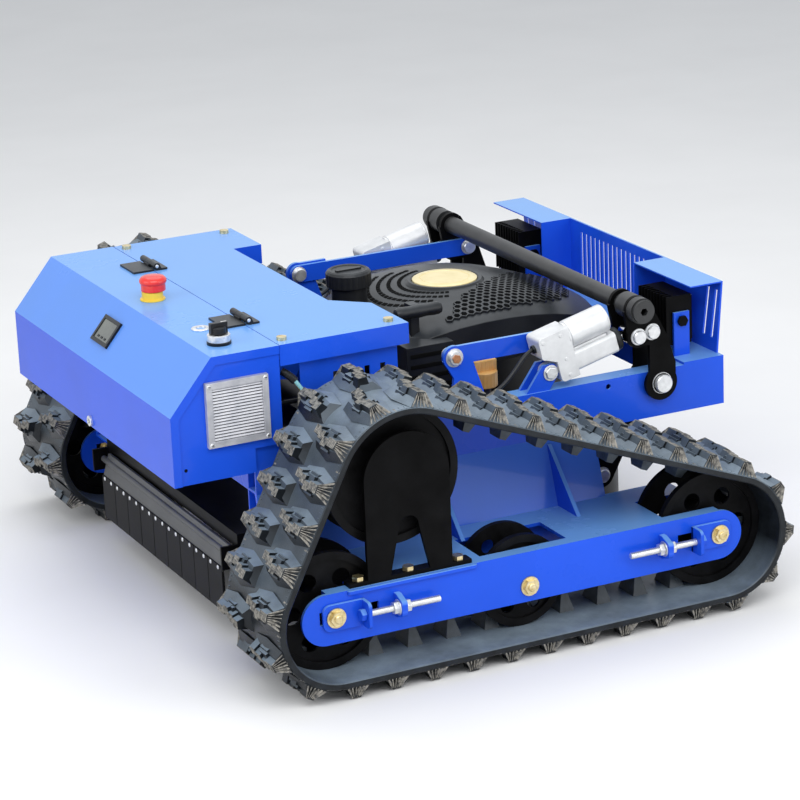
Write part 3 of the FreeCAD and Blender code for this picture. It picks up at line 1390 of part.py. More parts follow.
stroke_x = D.pivot_front_x - D.eye_back - D.clevis_x
stroke_z = D.pivot_z + D.eye_rise - D.clevis_z
stroke = hypot(stroke_x, stroke_z)
tilt = Size(math.degrees(math.atan2(stroke_z.value, stroke_x.value)),
            "atan2(%s; %s)" % (stroke_z.formula, stroke_x.formula))
for word, sign in SIDES.items():
    drive = Piece("lift_actuator_" + word)
    half, pin_end = D.clevis_half, ear_start + D.bracket_thick + D.seat_gap
    drive.pad("XZ_Plane", [circle(ZERO, ZERO, D.clevis_radius)], -half, half)
    drive.pad("XZ_Plane", [rectangle(ZERO, -D.clevis_radius, D.housing_end, D.clevis_radius)], -half, half)
    drive.pad("XZ_Plane", [circle(ZERO, ZERO, D.pin_radius)], -pin_end, pin_end)
    drive.pad("XZ_Plane", [hexagon(ZERO, ZERO, D.head_radius)], pin_end, pin_end + D.head_thick / 2)
    drive.pad("XZ_Plane", [hexagon(ZERO, ZERO, D.head_radius)], -pin_end - D.head_thick / 2, -pin_end)
    start = D.clevis_radius + D.bracket_gap * 4
    gears = rectangle(start, -D.housing_half, D.housing_end, D.motor_rise + D.housing_half)
    drive.pad("XZ_Plane", [gears], -D.housing_half, D.housing_half)
    drive.pad("YZ_Plane", [circle(ZERO, D.motor_rise, D.motor_radius)], -D.housing_start, D.motor_end)
    drive.pad("YZ_Plane", [circle(ZERO, ZERO, D.sleeve_radius)], D.housing_end, D.sleeve_end)
    cap = D.sleeve_radius + D.side_gap
    drive.pad("YZ_Plane", [circle(ZERO, ZERO, cap)], D.sleeve_end, D.sleeve_end + D.sleeve_cap)
    drive.cut("YZ_Plane", [circle(ZERO, ZERO, D.rod_radius + D.running_gap)],
              D.rod_start - D.side_gap, D.sleeve_end + D.sleeve_cap + D.overrun)
    drive.place(D.clevis_x, sign * D.actuator_y, D.clevis_z, Vector(0, -1, 0), tilt)
    rod = Piece("actuator_rod_" + word)
    rod.pad("YZ_Plane", [circle(ZERO, ZERO, D.rod_radius)], D.rod_start, stroke - D.eye_radius + D.side_gap)
    rod.pad("XZ_Plane", [circle(stroke, ZERO, D.eye_radius + D.eye_gap)], -D.eye_half, D.eye_half)
    rod.cut("XZ_Plane", [circle(stroke, ZERO, D.pin_radius + D.eye_gap)],
            -D.eye_half - D.overrun, D.eye_half + D.overrun)
    rod.place(D.clevis_x, sign * D.actuator_y, D.clevis_z, Vector(0, -1, 0), tilt)

# Cutting deck

deck = Piece("mower_deck")
deck.pad("XY_Plane", [rectangle(D.deck_rear, -D.deck_half, D.engine_x, D.deck_half)],
         D.deck_bottom, D.deck_top)
deck.pad("XY_Plane", [circle(D.engine_x, ZERO, D.deck_half)], D.deck_bottom, D.deck_top)
inner_half = D.deck_half - D.deck_wall
room_top = D.deck_top - D.deck_wall
room = rectangle(D.deck_rear + D.deck_wall, -inner_half, D.engine_x, inner_half)
deck.cut("XY_Plane", [room], D.deck_bottom - D.overrun, room_top)
deck.cut("XY_Plane", [circle(D.engine_x, ZERO, inner_half)], D.deck_bottom - D.overrun, room_top)
mouth = [(-D.flap_half, D.deck_bottom - D.overrun), (D.flap_half, D.deck_bottom - D.overrun),
         (D.flap_half, D.flap_bar_top), (-D.flap_half, D.flap_bar_top)]
deck.cut("YZ_Plane", [mouth], D.deck_rear - D.overrun, D.deck_rear + D.deck_wall + D.overrun)
cheek = rectangle(D.flap_x - D.pin_ring, D.flap_rod_z - D.pin_ring, D.deck_rear, D.flap_rod_z + D.pin_ring)
rod_hole = circle(D.flap_x, D.flap_rod_z, D.flap_rod_radius + D.running_gap)
both_sides(deck, "XZ_Plane", [cheek, rod_hole], inner_half, D.deck_half)
spots = [(D.pivot_front_x - D.arm_back, D.pivot_z - D.arm_drop),
         (D.pivot_rear_x - D.arm_back, D.pivot_z - D.arm_drop)]
ear_end = spots[0][0] + D.pin_ring
deck.pad("XY_Plane", [rectangle(D.engine_x, -D.deck_half, ear_end, D.deck_half)], room_top, D.deck_top)
deck.cut("XY_Plane", [circle(D.engine_x, ZERO, D.crank_hub)], room_top - D.overrun, D.deck_top + D.overrun)
both_sides(deck, "XZ_Plane", [rectangle(D.engine_x, spots[0][1] - D.pin_ring, ear_end, D.deck_top)],
           inner_half, D.deck_half)
for spot in spots:
    both_sides(deck, "XZ_Plane", [circle(*spot, D.pin_radius + D.washer_thick * 2)], D.deck_half, deck_face)
deck.cut("XZ_Plane", [circle(*spot, bore) for spot in spots],
         -deck_face - D.overrun, deck_face + D.overrun)

flap = Piece("rear_flap")
flap_reach = deck_face + D.washer_thick
flap.pad("XZ_Plane", [circle(D.flap_x, D.flap_rod_z, D.flap_rod_radius)], -flap_reach, flap_reach)
lean = D.flap_lean / 2
slope = [(D.flap_x + lean - D.flap_bar_thick, D.flap_bar_top), (D.flap_x + lean, D.flap_bar_top),
         (D.flap_x - lean, D.flap_bar_bottom), (D.flap_x - lean - D.flap_bar_thick, D.flap_bar_bottom)]
flap.pad("XZ_Plane", [slope], -D.flap_half, D.flap_half)
strip_width = D.flap_half * 2 / STRIP_COUNT
for index in range(STRIP_COUNT):
    low = -D.flap_half + strip_width * index + D.strip_gap / 2
    strip = rectangle(D.flap_x - lean - D.flap_bar_thick, D.strip_bottom,
                      D.flap_x - lean - D.flap_bar_thick + D.strip_thick, D.flap_bar_bottom)
    flap.pad("XZ_Plane", [strip], low, low + strip_width - D.strip_gap)

cutter = Piece("cutter_blade")
cutter.pad("XY_Plane", [rectangle(-D.blade_reach, -D.blade_half, D.blade_reach, D.blade_half)],
           ZERO, D.cutter_thick)
for sign in (-1, 1):
    low, high = side_span(sign, D.blade_reach - D.blade_half * 2, D.blade_reach)
    edge = side_span(sign, D.blade_half / 2, D.blade_half)
    cutter.pad("XY_Plane", [rectangle(low, edge[0], high, edge[1])], ZERO, D.cutter_thick * 4)
hub_top = room_top - D.cutter_z - D.side_gap * 2
cutter.pad("XY_Plane", [circle(ZERO, ZERO, D.crank_hub - D.side_gap)], ZERO, hub_top)
shaft_top = D.deck_top + D.block_base - D.cutter_z
cutter.pad("XY_Plane", [circle(ZERO, ZERO, D.crank_radius)], hub_top, shaft_top)
cutter.place(D.engine_x, ZERO, D.cutter_z)

# Engine

block = Piece("engine_block")
block_top = D.block_top
ceiling = D.cowl_nose - D.cowl_wall
low_x, high_x = D.engine_x - D.block_half_x, D.engine_x + D.block_half_x
block.pad("XY_Plane", [rectangle(low_x, -D.block_half_y, high_x, D.block_half_y)],
          D.deck_top, D.deck_top + D.block_base)
case = D.block_half_y - D.hub_radius / 2
block.pad("XY_Plane", [rectangle(D.engine_x - case, -case, D.engine_x + case, case)],
          D.deck_top, block_top)
block.pad("XY_Plane", [circle(D.engine_x, ZERO, D.crank_hub - D.side_gap)], room_top, D.deck_top)
block.pad("XY_Plane", [circle(D.engine_x, ZERO, D.block_half_x)], block_top, ceiling)
head_low = D.deck_top + D.block_base / 2
head_high = block_top - D.block_base / 2
block.pad("XZ_Plane", [rectangle(D.engine_x, head_low, high_x + D.head_reach, head_high)],
          -D.head_half, D.head_half)
block.cut("XY_Plane", [circle(D.engine_x, ZERO, D.crank_radius + D.running_gap)],
          room_top - D.overrun, D.deck_top + D.block_base + D.side_gap)
fins = int(((head_high - head_low) / D.fin_pitch).value)
for index in range(fins):
    level = head_low + D.fin_pitch * (index + 0.3)
    fin_half = D.head_half + D.fin_pitch
    block.pad("XY_Plane", [rectangle(high_x + D.fin_thick, -fin_half, high_x + D.head_reach, fin_half)],
              level, level + D.fin_thick)
block.pad("XY_Plane", [rectangle(D.muffler_x - D.muffler_length / 2, case, D.muffler_x + D.muffler_length / 2,
                                 D.muffler_outer)], D.muffler_bottom, D.muffler_top)
elbow = D.deck_top + D.block_base + D.dipstick_tube * 2
block.pad("XZ_Plane", [circle(D.dipstick_x, elbow, D.dipstick_tube)], D.dipstick_y - D.dipstick_tube, -case)
tube_top = D.dipstick_z - D.dipstick_height / 2
block.pad("XY_Plane", [circle(D.dipstick_x, D.dipstick_y, D.dipstick_tube)], elbow, tube_top)
stick_radius = D.dipstick_tube / 3
block.cut("XY_Plane", [circle(D.dipstick_x, D.dipstick_y, stick_radius + D.running_gap)],
          elbow, tube_top + D.overrun)

dipstick = Piece("dipstick")
stick_low = elbow + D.side_gap
dipstick.pad("XY_Plane", [circle(D.dipstick_x, D.dipstick_y, stick_radius)],
             stick_low, tube_top + D.running_gap)
dipstick.pad("XY_Plane", [circle(D.dipstick_x, D.dipstick_y, D.dipstick_radius)],
             tube_top + D.running_gap, tube_top + D.dipstick_height * 0.6)
wing = D.dipstick_radius / 3
dipstick.pad("XY_Plane", [rectangle(D.dipstick_x - D.dipstick_radius + D.side_gap, D.dipstick_y - wing,
                                    D.dipstick_x + D.dipstick_radius - D.side_gap, D.dipstick_y + wing)],
             tube_top + D.running_gap, tube_top + D.dipstick_height)

COWL_SIDE_SHARES = [(0, 0), (0, 0.72), (0.13, 0.96), (0.28, 1), (0.53, 1), (0.66, 0.92), (0.8, 0.76),
                    (0.93, 0.52), (1, 0.33), (1, 0)]
COWL_PLAN_SHARES = [(0, 0.8), (0.1, 1), (0.54, 1), (0.8, 0.8)]
cowl = Piece("engine_cowl")
cowl_length = D.cowl_front - D.cowl_rear
cowl_height = D.cowl_top - D.cowl_bottom
side = [(D.cowl_rear + across, D.cowl_bottom + up)
        for across, up in scaled(COWL_SIDE_SHARES, cowl_length, cowl_height)]
cowl.pad("XZ_Plane", [side], -D.cowl_half, D.cowl_half)
half_plan = [(D.cowl_rear + across, up) for across, up in scaled(COWL_PLAN_SHARES, cowl_length, D.cowl_half)]
half_plan.append((D.cowl_front, D.cowl_nose_half))


def closed_plan(points, grow):
    """A symmetric plan outline from its left half, shifted sideways."""
    left = [(across, up + grow) for across, up in points]
    return left + [(across, -up) for across, up in left[::-1]]


far = D.cowl_half + D.overrun
for sign in (-1, 1):
    rim = [(across, sign * up) for across, up in half_plan]
    outside = rim + [(D.cowl_front + D.overrun, sign * D.cowl_nose_half), (D.cowl_front + D.overrun, sign * far),
                     (D.cowl_rear - D.overrun, sign * far), (D.cowl_rear - D.overrun, sign * half_plan[0][1])]
    cowl.cut("XY_Plane", [outside], D.cowl_bottom - D.overrun, D.cowl_top + D.overrun)
    shoulder = [(sign * D.cowl_half * 0.8, D.cowl_top), (sign * far, D.cowl_top - D.cowl_wall * 4),
                (sign * far, D.cowl_top + D.overrun), (sign * D.cowl_half * 0.8, D.cowl_top + D.overrun)]
    cowl.cut("YZ_Plane", [shoulder], D.cowl_rear - D.overrun, D.cowl_front + D.overrun)
room = closed_plan([(D.cowl_rear + D.cowl_wall, half_plan[0][1])] + half_plan[1:-1]
                   + [(D.cowl_front - D.cowl_wall, D.cowl_nose_half)], -D.cowl_wall * 1.5)
cowl.cut("XY_Plane", [room], D.cowl_bottom - D.overrun, ceiling)
neck_top = D.cap_top - D.cap_wall
cowl.pad("XY_Plane", [circle(D.cap_x, D.cap_y, D.neck_radius)], D.cowl_bottom, neck_top)
air_low, air_high = D.air_x - D.air_length / 2, D.air_x + D.air_length / 2
cowl.pad("XY_Plane", [rectangle(air_low, -D.air_outer, air_high, -D.air_inner)], D.air_bottom, D.air_top)
post_half = D.grip_post / 2 + D.overrun
guide = D.grip_y + D.grip_radius + D.side_gap
cowl.pad("XY_Plane", [rectangle(D.grip_x - post_half, guide, D.grip_x + post_half, guide + D.grip_post * 2)],
         D.air_top, D.grip_z + post_half)
stem = D.grip_post / 3
cowl.cut("XZ_Plane", [circle(D.grip_x, D.grip_z, stem + D.running_gap)],
         guide - D.overrun, guide + D.grip_post * 2 + D.overrun)

badge = Piece("engine_badge")
badge.pad("XY_Plane", [circle(D.engine_x, ZERO, D.badge_radius)], D.cowl_top, D.cowl_top + D.badge_thick)

cap = Piece("fuel_cap")
ribs = ring_points(GRIP_RIBS * 2, D.cap_radius, D.cap_x, D.cap_y)
inner_ribs = ring_points(GRIP_RIBS * 2, D.cap_radius - D.side_gap, D.cap_x, D.cap_y)
knurl = [ribs[i] if i % 2 else inner_ribs[i] for i in range(GRIP_RIBS * 2)]
cap.pad("XY_Plane", [knurl], D.cap_top - D.cap_height, D.cap_top)
cap.cut("XY_Plane", [circle(D.cap_x, D.cap_y, D.neck_radius + D.running_gap)],
        D.cap_top - D.cap_height - D.overrun, neck_top + D.running_gap)

handle = Piece("recoil_handle")
handle.pad("YZ_Plane", [circle(D.grip_y, D.grip_z, D.grip_radius)],
           D.grip_x - D.grip_length / 2, D.grip_x + D.grip_length / 2)
handle.pad("XZ_Plane", [circle(D.grip_x, D.grip_z, stem)], D.grip_y, guide + D.grip_post * 2 - D.side_gap)

# Fasteners

bolts = Piece("zinc_bolts")
heads = []
for x in (D.screw_rear_x, D.screw_front_x):
    for sign in (-1, 1):
        heads.append(circle(x, sign * D.screw_y, D.screw_head_radius))
bolts.pad("XY_Plane", heads, D.box_top, D.box_top + D.screw_head_height)
foot_y = D.beam_outer - D.arch_inset - D.arch_base_width / 2
foot_top = D.beam_top + D.arch_thick
heads = []
end_gap = D.bolt_head_radius * 2
for place in (D.arch_base_rear + end_gap, (D.arch_base_rear + D.arch_base_front) / 2, D.arch_base_front - end_gap):
    for sign in (-1, 1):
        heads.append(hexagon(place, sign * foot_y, D.bolt_head_radius))
bolts.pad("XY_Plane", heads, foot_top, foot_top + D.bolt_head_height)

# Wiring, along the way that it runs


def cord(points, radius):
    """A round cord through the points, with a smooth curve."""
    curve = Part.BSplineCurve()
    curve.interpolate([Vector(*point) for point in points])
    line = Part.Wire([curve.toShape()])
    start = curve.value(curve.FirstParameter)
    along = curve.tangent(curve.FirstParameter)[0]
    profile = Part.Wire([Part.Circle(start, along, radius).toShape()])
    return line.makePipeShell([profile], True, False)


ACTUATOR_LEAD = [(131.9, 291, 371.4), (121, 292, 368), (106, 295, 355), (84, 299, 334), (56, 301, 319),
                 (20, 301, 315), (-30, 300, 315), (-70, 292, 319), (-105, 277, 333), (-140, 264, 345),
                 (-185, 258, 349), (-228, 257, 349), (-270.4, 257, 349)]
CONDUIT = [(-262, -298, 409), (-254, -305, 401.5), (-239, -309, 382), (-226, -309, 364)]
WIRES = [[(-226, -306, 364), (-214, -304.5, 346), (-206, -303.5, 328), (-204, -303.5, 314)],
         [(-227, -312, 363), (-217, -311, 345), (-211, -309, 328), (-211, -303.5, 314)]]
leads = []
for sign in (-1, 1):
    leads.append(cord([(x, sign * y, z) for x, y, z in ACTUATOR_LEAD], D.lead_radius.value))
leads.append(cord(CONDUIT, D.loom_radius.value * 2 / 3))
for route in WIRES:
    leads.append(cord(route, D.wire_radius.value * 0.95))
solid_feature("wiring_loom", Part.makeCompound(leads))

doc.recompute()
os.makedirs("parts", exist_ok=True)
for item in doc.Objects:
    if "Invalid" in item.State or "Error" in item.State:
        raise RuntimeError("recompute failed at " + item.Label)
for piece in PIECES:
    shape = piece.Shape
    if shape.isNull() or not shape.isValid():
        raise RuntimeError("bad solid: " + piece.Label)
for piece in PIECES:
    piece.Shape.exportStep("parts/%s.step" % piece.Label)
print("exported", len(PIECES))
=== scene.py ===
"""Looks of the remote control slope mower: materials, detailed pieces, light and camera around the CAD frame."""

import math

import bmesh
import bpy
from mathutils import Matrix, Vector


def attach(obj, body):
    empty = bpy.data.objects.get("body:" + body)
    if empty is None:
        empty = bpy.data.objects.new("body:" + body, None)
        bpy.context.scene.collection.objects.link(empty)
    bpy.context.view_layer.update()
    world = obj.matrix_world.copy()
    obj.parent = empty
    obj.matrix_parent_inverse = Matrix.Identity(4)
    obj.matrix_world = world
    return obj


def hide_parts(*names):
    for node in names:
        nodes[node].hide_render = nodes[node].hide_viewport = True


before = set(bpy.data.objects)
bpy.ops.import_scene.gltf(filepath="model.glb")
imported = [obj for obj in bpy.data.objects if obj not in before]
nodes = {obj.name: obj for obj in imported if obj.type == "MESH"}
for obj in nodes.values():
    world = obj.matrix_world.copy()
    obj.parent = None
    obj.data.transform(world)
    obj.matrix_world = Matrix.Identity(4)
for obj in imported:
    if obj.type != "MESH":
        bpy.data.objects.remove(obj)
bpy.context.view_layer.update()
scene = bpy.context.scene

# Camera at the photograph's angle, solved from the photograph

CAMERA_PLACE = (-1.8183, -3.9561, 1.6276)
LENS, SENSOR = 136.73, 36.0
right = Vector((0.897259, -0.439604, -0.040908))
up = Vector((0.168830, 0.256020, 0.951814))
back = Vector((-0.407949, -0.860931, 0.303934))
camera_data = bpy.data.cameras.new("view_camera")
camera_data.lens = LENS
camera_data.sensor_width = SENSOR
camera_data.clip_end = 60.0
camera = bpy.data.objects.new("view_camera", camera_data)
scene.collection.objects.link(camera)
turn = Matrix((right, up, back)).transposed().to_4x4()
camera.matrix_world = Matrix.Translation(CAMERA_PLACE) @ turn
scene.camera = camera
scene.view_settings.view_transform = "Standard"

SIDES = (("right", -1), ("left", 1))
UPRIGHT = (0, 0, 1)

# Materials


def material(name):
    made = bpy.data.materials.new(name)
    made.use_nodes = True
    tree = made.node_tree
    return made, tree, tree.nodes["Principled BSDF"]


def node(tree, kind, **inputs):
    made = tree.nodes.new(kind)
    for key, value in inputs.items():
        made.inputs[key.replace("_", " ")].default_value = value
    return made


def place_nodes(tree):
    return tree.nodes.new("ShaderNodeTexCoord").outputs["Object"]


def math_node(tree, operation, first, second):
    """One sum on a socket, with a second socket or a plain number."""
    made = tree.nodes.new("ShaderNodeMath")
    made.operation = operation
    tree.links.new(first, made.inputs[0])
    if isinstance(second, (int, float)):
        made.inputs[1].default_value = second
    else:
        tree.links.new(second, made.inputs[1])
    return made


def ramp(tree, source, low, high, first, second):
    made = tree.nodes.new("ShaderNodeValToRGB")
    made.color_ramp.elements[0].position = low
    made.color_ramp.elements[1].position = high
    made.color_ramp.elements[0].color = (*first, 1)
    made.color_ramp.elements[1].color = (*second, 1)
    tree.links.new(source, made.inputs["Fac"])
    return made.outputs["Color"]


def noise(tree, where, scale, detail=4.0, rough=0.55):
    made = node(tree, "ShaderNodeTexNoise", Scale=scale, Detail=detail, Roughness=rough)
    tree.links.new(where, made.inputs["Vector"])
    return made.outputs["Fac"]


def mix_color(tree, factor, first, second):
    made = tree.nodes.new("ShaderNodeMix")
    made.data_type = "RGBA"
    for value, slot in ((factor, 0), (first, 6), (second, 7)):
        if isinstance(value, (int, float)):
            made.inputs[slot].default_value = value
        elif isinstance(value, tuple):
            made.inputs[slot].default_value = (*value, 1)
        else:
            tree.links.new(value, made.inputs[slot])
    return made.outputs[2]


def bump(tree, shader, height, strength, distance=0.001):
    made = node(tree, "ShaderNodeBump", Strength=strength, Distance=distance)
    tree.links.new(height, made.inputs["Height"])
    tree.links.new(made.outputs["Normal"], shader.inputs["Normal"])


def finish(name, dark, light, rough, rough_spread=0.08, metal=0.0, grain=60.0, fine=900.0,
           relief=0.15, depth=0.0005, dust_and_sheen=0.0, dust_and_sheen_color=(0.35, 0.33, 0.3), coat=0.0, spread=(0.3, 0.7),
           shine=0.5, cover=(0.42, 0.75), lie=(0.9, 0.1)):
    """A surface with broad colour change, fine grain in its relief, and a paler colour mixed in on what faces up:
    dust on some finishes, painted sky sheen and top light on others.

    cover says where the pale patches start and end, lie how the pale colour grows with the upward normal.
    """
    made, tree, shader = material(name)
    where = place_nodes(tree)
    broad = noise(tree, where, grain, 5.0)
    small = noise(tree, where, fine, 3.0)
    color = ramp(tree, broad, spread[0], spread[1], dark, light)
    # Paler colour by the upward normal: real dust on some finishes, painted sky sheen and top light on others
    if dust_and_sheen > 0:
        clouds = noise(tree, where, 9.0, 8.0, 0.65)
        patch = ramp(tree, clouds, cover[0], cover[1], (0, 0, 0), (dust_and_sheen, dust_and_sheen, dust_and_sheen))
        sides = tree.nodes.new("ShaderNodeNewGeometry")
        split = tree.nodes.new("ShaderNodeSeparateXYZ")
        tree.links.new(sides.outputs["Normal"], split.inputs[0])
        facing = math_node(tree, "MULTIPLY_ADD", split.outputs["Z"], lie[0])
        facing.inputs[2].default_value = lie[1]
        facing.use_clamp = True
        amount = math_node(tree, "MULTIPLY", patch, facing.outputs[0])
        color = mix_color(tree, amount.outputs[0], color, dust_and_sheen_color)
    tree.links.new(color, shader.inputs["Base Color"])
    shade = tree.nodes.new("ShaderNodeMapRange")
    shade.inputs["To Min"].default_value = max(0.02, rough - rough_spread)
    shade.inputs["To Max"].default_value = min(1.0, rough + rough_spread)
    tree.links.new(broad, shade.inputs["Value"])
    tree.links.new(shade.outputs[0], shader.inputs["Roughness"])
    shader.inputs["Metallic"].default_value = metal
    shader.inputs["Specular IOR Level"].default_value = shine
    shader.inputs["Coat Weight"].default_value = coat
    shader.inputs["Coat Roughness"].default_value = 0.04
    bump(tree, shader, small, relief, depth)
    return made


# Blue paint: upward faces mixed toward pale blue all over, a painted sky reflection and top light
blue = finish("blue_coat", (0.010, 0.080, 0.66), (0.013, 0.094, 0.76), 0.26, 0.05, grain=6, fine=420,
              relief=0.05, dust_and_sheen=0.40, dust_and_sheen_color=(0.40, 0.84, 1.0), coat=0.14, shine=0.14, cover=(0.0, 0.3),
              lie=(1.03, -0.03))
satin = finish("black_coat", (0.002, 0.002, 0.0022), (0.005, 0.005, 0.0055), 0.36, 0.08, grain=30, fine=700,
               relief=0.1, dust_and_sheen=0.03, shine=0.05)
tube_grey = finish("tube_coat", (0.014, 0.015, 0.016), (0.028, 0.029, 0.031), 0.4, 0.08, grain=40, fine=800,
                   relief=0.18, dust_and_sheen=0.06, shine=0.5)
# Track rubber: upward faces lighter blue-grey in patches, mostly a painted sky reflection, with some dust
rubber = finish("track_rubber", (0.004, 0.005, 0.0065), (0.014, 0.018, 0.023), 0.4, 0.12, grain=55, fine=500,
                relief=0.4, depth=0.001, dust_and_sheen=0.9, dust_and_sheen_color=(0.25, 0.32, 0.39), shine=0.26, cover=(0.1, 0.6),
                lie=(1.3, -0.3))
guide = finish("guide_rubber", (0.02, 0.026, 0.032), (0.06, 0.075, 0.09), 0.45, 0.1, grain=60, fine=500,
               relief=0.4, depth=0.001, dust_and_sheen=0.3, dust_and_sheen_color=(0.2, 0.24, 0.28), shine=0.4)
# Pale rubber on ridge crests, fan ribs and rim notches: partly wear, partly a painted highlight
worn_and_highlight = finish("worn_highlight_rubber", (0.06, 0.062, 0.065), (0.36, 0.34, 0.30), 0.8, 0.1, grain=170, fine=600,
              relief=0.7, depth=0.001, spread=(0.34, 0.6), shine=0.3)
zinc = finish("yellow_zinc", (0.55, 0.42, 0.18), (0.85, 0.74, 0.46), 0.3, 0.1, metal=0.9, grain=150, fine=900,
              relief=0.15, dust_and_sheen=0.08)
copper = finish("copper_bolt", (0.40, 0.16, 0.07), (0.62, 0.30, 0.15), 0.35, 0.1, metal=0.8, grain=150, fine=900,
                relief=0.15)
silver = finish("bright_zinc", (0.60, 0.61, 0.62), (0.80, 0.81, 0.82), 0.32, 0.1, metal=0.75, grain=120, fine=900,
                relief=0.12)
alloy = finish("actuator_alloy", (0.66, 0.67, 0.68), (0.80, 0.81, 0.82), 0.36, 0.08, metal=0.3, grain=50, fine=900,
               relief=0.15, dust_and_sheen=0.06)
chrome = finish("rod_chrome", (0.6, 0.6, 0.62), (0.75, 0.75, 0.77), 0.12, 0.04, metal=1.0, grain=80, fine=900,
                relief=0.05)
# Moulded plastic: upward faces lighter bluish grey in patches, partly dust and partly a painted sheen
plastic = finish("moulded_plastic", (0.004, 0.0043, 0.005), (0.010, 0.0105, 0.012), 0.36, 0.06, grain=25, fine=1300,
                 relief=0.25, depth=0.0003, dust_and_sheen=0.35, dust_and_sheen_color=(0.10, 0.115, 0.13), shine=0.28, cover=(0.2, 0.6))
# Matte black for slots, holes and recess floors: painted shade
painted_shade_black = finish("painted_shade_dark", (0.002, 0.002, 0.002), (0.004, 0.004, 0.004), 0.9, 0.05, shine=0.1)
cast = finish("cast_alloy", (0.02, 0.02, 0.022), (0.06, 0.06, 0.065), 0.55, 0.1, metal=0.3, grain=80, fine=500,
              relief=0.5, dust_and_sheen=0.1, shine=0.3)
steel = finish("wheel_steel", (0.002, 0.002, 0.0022), (0.008, 0.008, 0.009), 0.45, 0.12, grain=40,
               fine=500, relief=0.3, dust_and_sheen=0.04, shine=0.08)
blade_steel = finish("blade_steel", (0.2, 0.2, 0.2), (0.42, 0.41, 0.4), 0.4, 0.12, metal=0.9, grain=70, fine=700,
                     relief=0.3)
case_grey = finish("case_plastic", (0.05, 0.05, 0.055), (0.09, 0.09, 0.095), 0.5, grain=30)
badge_paint = finish("badge_paint", (0.80, 0.66, 0.30), (0.90, 0.78, 0.44), 0.35, 0.06, grain=40, fine=700,
                     relief=0.06, coat=0.3)
orange = finish("orange_plastic", (0.96, 0.50, 0.13), (1.0, 0.62, 0.22), 0.35, 0.06, grain=35, fine=1000,
                relief=0.2, dust_and_sheen=0.04)
red = finish("red_plastic", (0.70, 0.014, 0.012), (0.82, 0.026, 0.018), 0.25, 0.05, grain=30, fine=900, relief=0.05,
             coat=0.3)
yellow = finish("yellow_plastic", (0.80, 0.52, 0.03), (0.90, 0.64, 0.06), 0.35, 0.05, grain=30, fine=900,
                relief=0.06)
strip_rubber = finish("flap_rubber", (0.004, 0.004, 0.005), (0.014, 0.014, 0.016), 0.6, 0.1, grain=30, fine=300,
                      relief=0.4, dust_and_sheen=0.08, shine=0.14)
bar_grey = finish("flap_bar_paint", (0.035, 0.037, 0.039), (0.075, 0.078, 0.08), 0.4, 0.08, grain=14, fine=500,
                  relief=0.15, dust_and_sheen=0.15)
white_ink = finish("white_mark", (0.8, 0.8, 0.8), (0.9, 0.9, 0.9), 0.4)
glass_dark = finish("display_glass", (0.05, 0.06, 0.05), (0.09, 0.1, 0.08), 0.08, 0.02, grain=30, relief=0.02,
                    coat=0.8)
grille_metal = finish("grille_metal", (0.42, 0.43, 0.47), (0.60, 0.60, 0.63), 0.45, 0.1, metal=0.4, grain=60,
                      fine=600, relief=0.2)
wire_yellow = finish("wire_yellow", (0.85, 0.65, 0.03), (0.9, 0.72, 0.08), 0.4)
wire_cyan = finish("wire_cyan", (0.25, 0.6, 0.65), (0.35, 0.7, 0.75), 0.4)
lens = finish("lamp_lens", (0.75, 0.78, 0.8), (0.85, 0.88, 0.9), 0.1, 0.03, grain=90, fine=300, relief=0.4)

LOOKS = {
    blue: ["side_frame_right", "side_frame_left", "track_beam_right", "track_beam_left", "rear_bulkhead",
           "front_platform", "front_guard", "control_box", "rear_cover", "cover_walls", "box_lid", "tie_bars",
           "rear_cranks", "actuator_brackets"],
    satin: ["sprocket_guard_right", "sprocket_guard_left", "rocker_right", "rocker_left", "mower_deck",
            "lamp_right", "lamp_left"],
    tube_grey: ["cross_tube"],
    steel: ["sprocket_right", "sprocket_left", "rear_idler_right", "rear_idler_left", "front_idler_right",
            "front_idler_left", "mid_roller_right", "mid_roller_left", "drive_motors"],
    zinc: ["wheel_axles", "zinc_bolts"],
    silver: ["track_tensioners", "lid_latch"],
    alloy: ["lift_actuator_right", "lift_actuator_left"],
    chrome: ["actuator_rod_right", "actuator_rod_left"],
    plastic: ["cover_hinge_leaves", "lid_hinge_leaves", "fan_housing", "fan_rotor", "selector_knob",
              "engine_cowl", "fuel_cap", "recoil_handle", "display_meter", "wiring_loom"],
    case_grey: ["control_electronics"],
    cast: ["engine_block"],
    badge_paint: ["engine_badge"],
    orange: ["dipstick"],
    red: ["stop_button"],
    yellow: ["panel_fittings"],
    blade_steel: ["cutter_blade"],
    rubber: ["track_belt_right", "track_belt_left"],
    strip_rubber: ["rear_flap"],
    grille_metal: ["fan_filter"],
}
for look, names in LOOKS.items():
    for name in names:
        mesh = nodes[name].data
        mesh.materials.clear()
        mesh.materials.append(look)

# Soft edges on the carried pieces: folded sheet is rounder than the rest, the slotted guard is not

SHEET_EDGE, FINE_EDGE = 0.0020, 0.0008


def soften(thing, width, angle):
    edge = thing.modifiers.new("edges", "BEVEL")
    edge.width = width
    edge.segments = 2
    edge.limit_method = "ANGLE"
    edge.angle_limit = math.radians(angle)
    return edge


for name, thing in nodes.items():
    folded = name in LOOKS[blue] and name != "front_guard"
    soften(thing, SHEET_EDGE if folded else FINE_EDGE, 40).use_clamp_overlap = True

# Helpers for new pieces


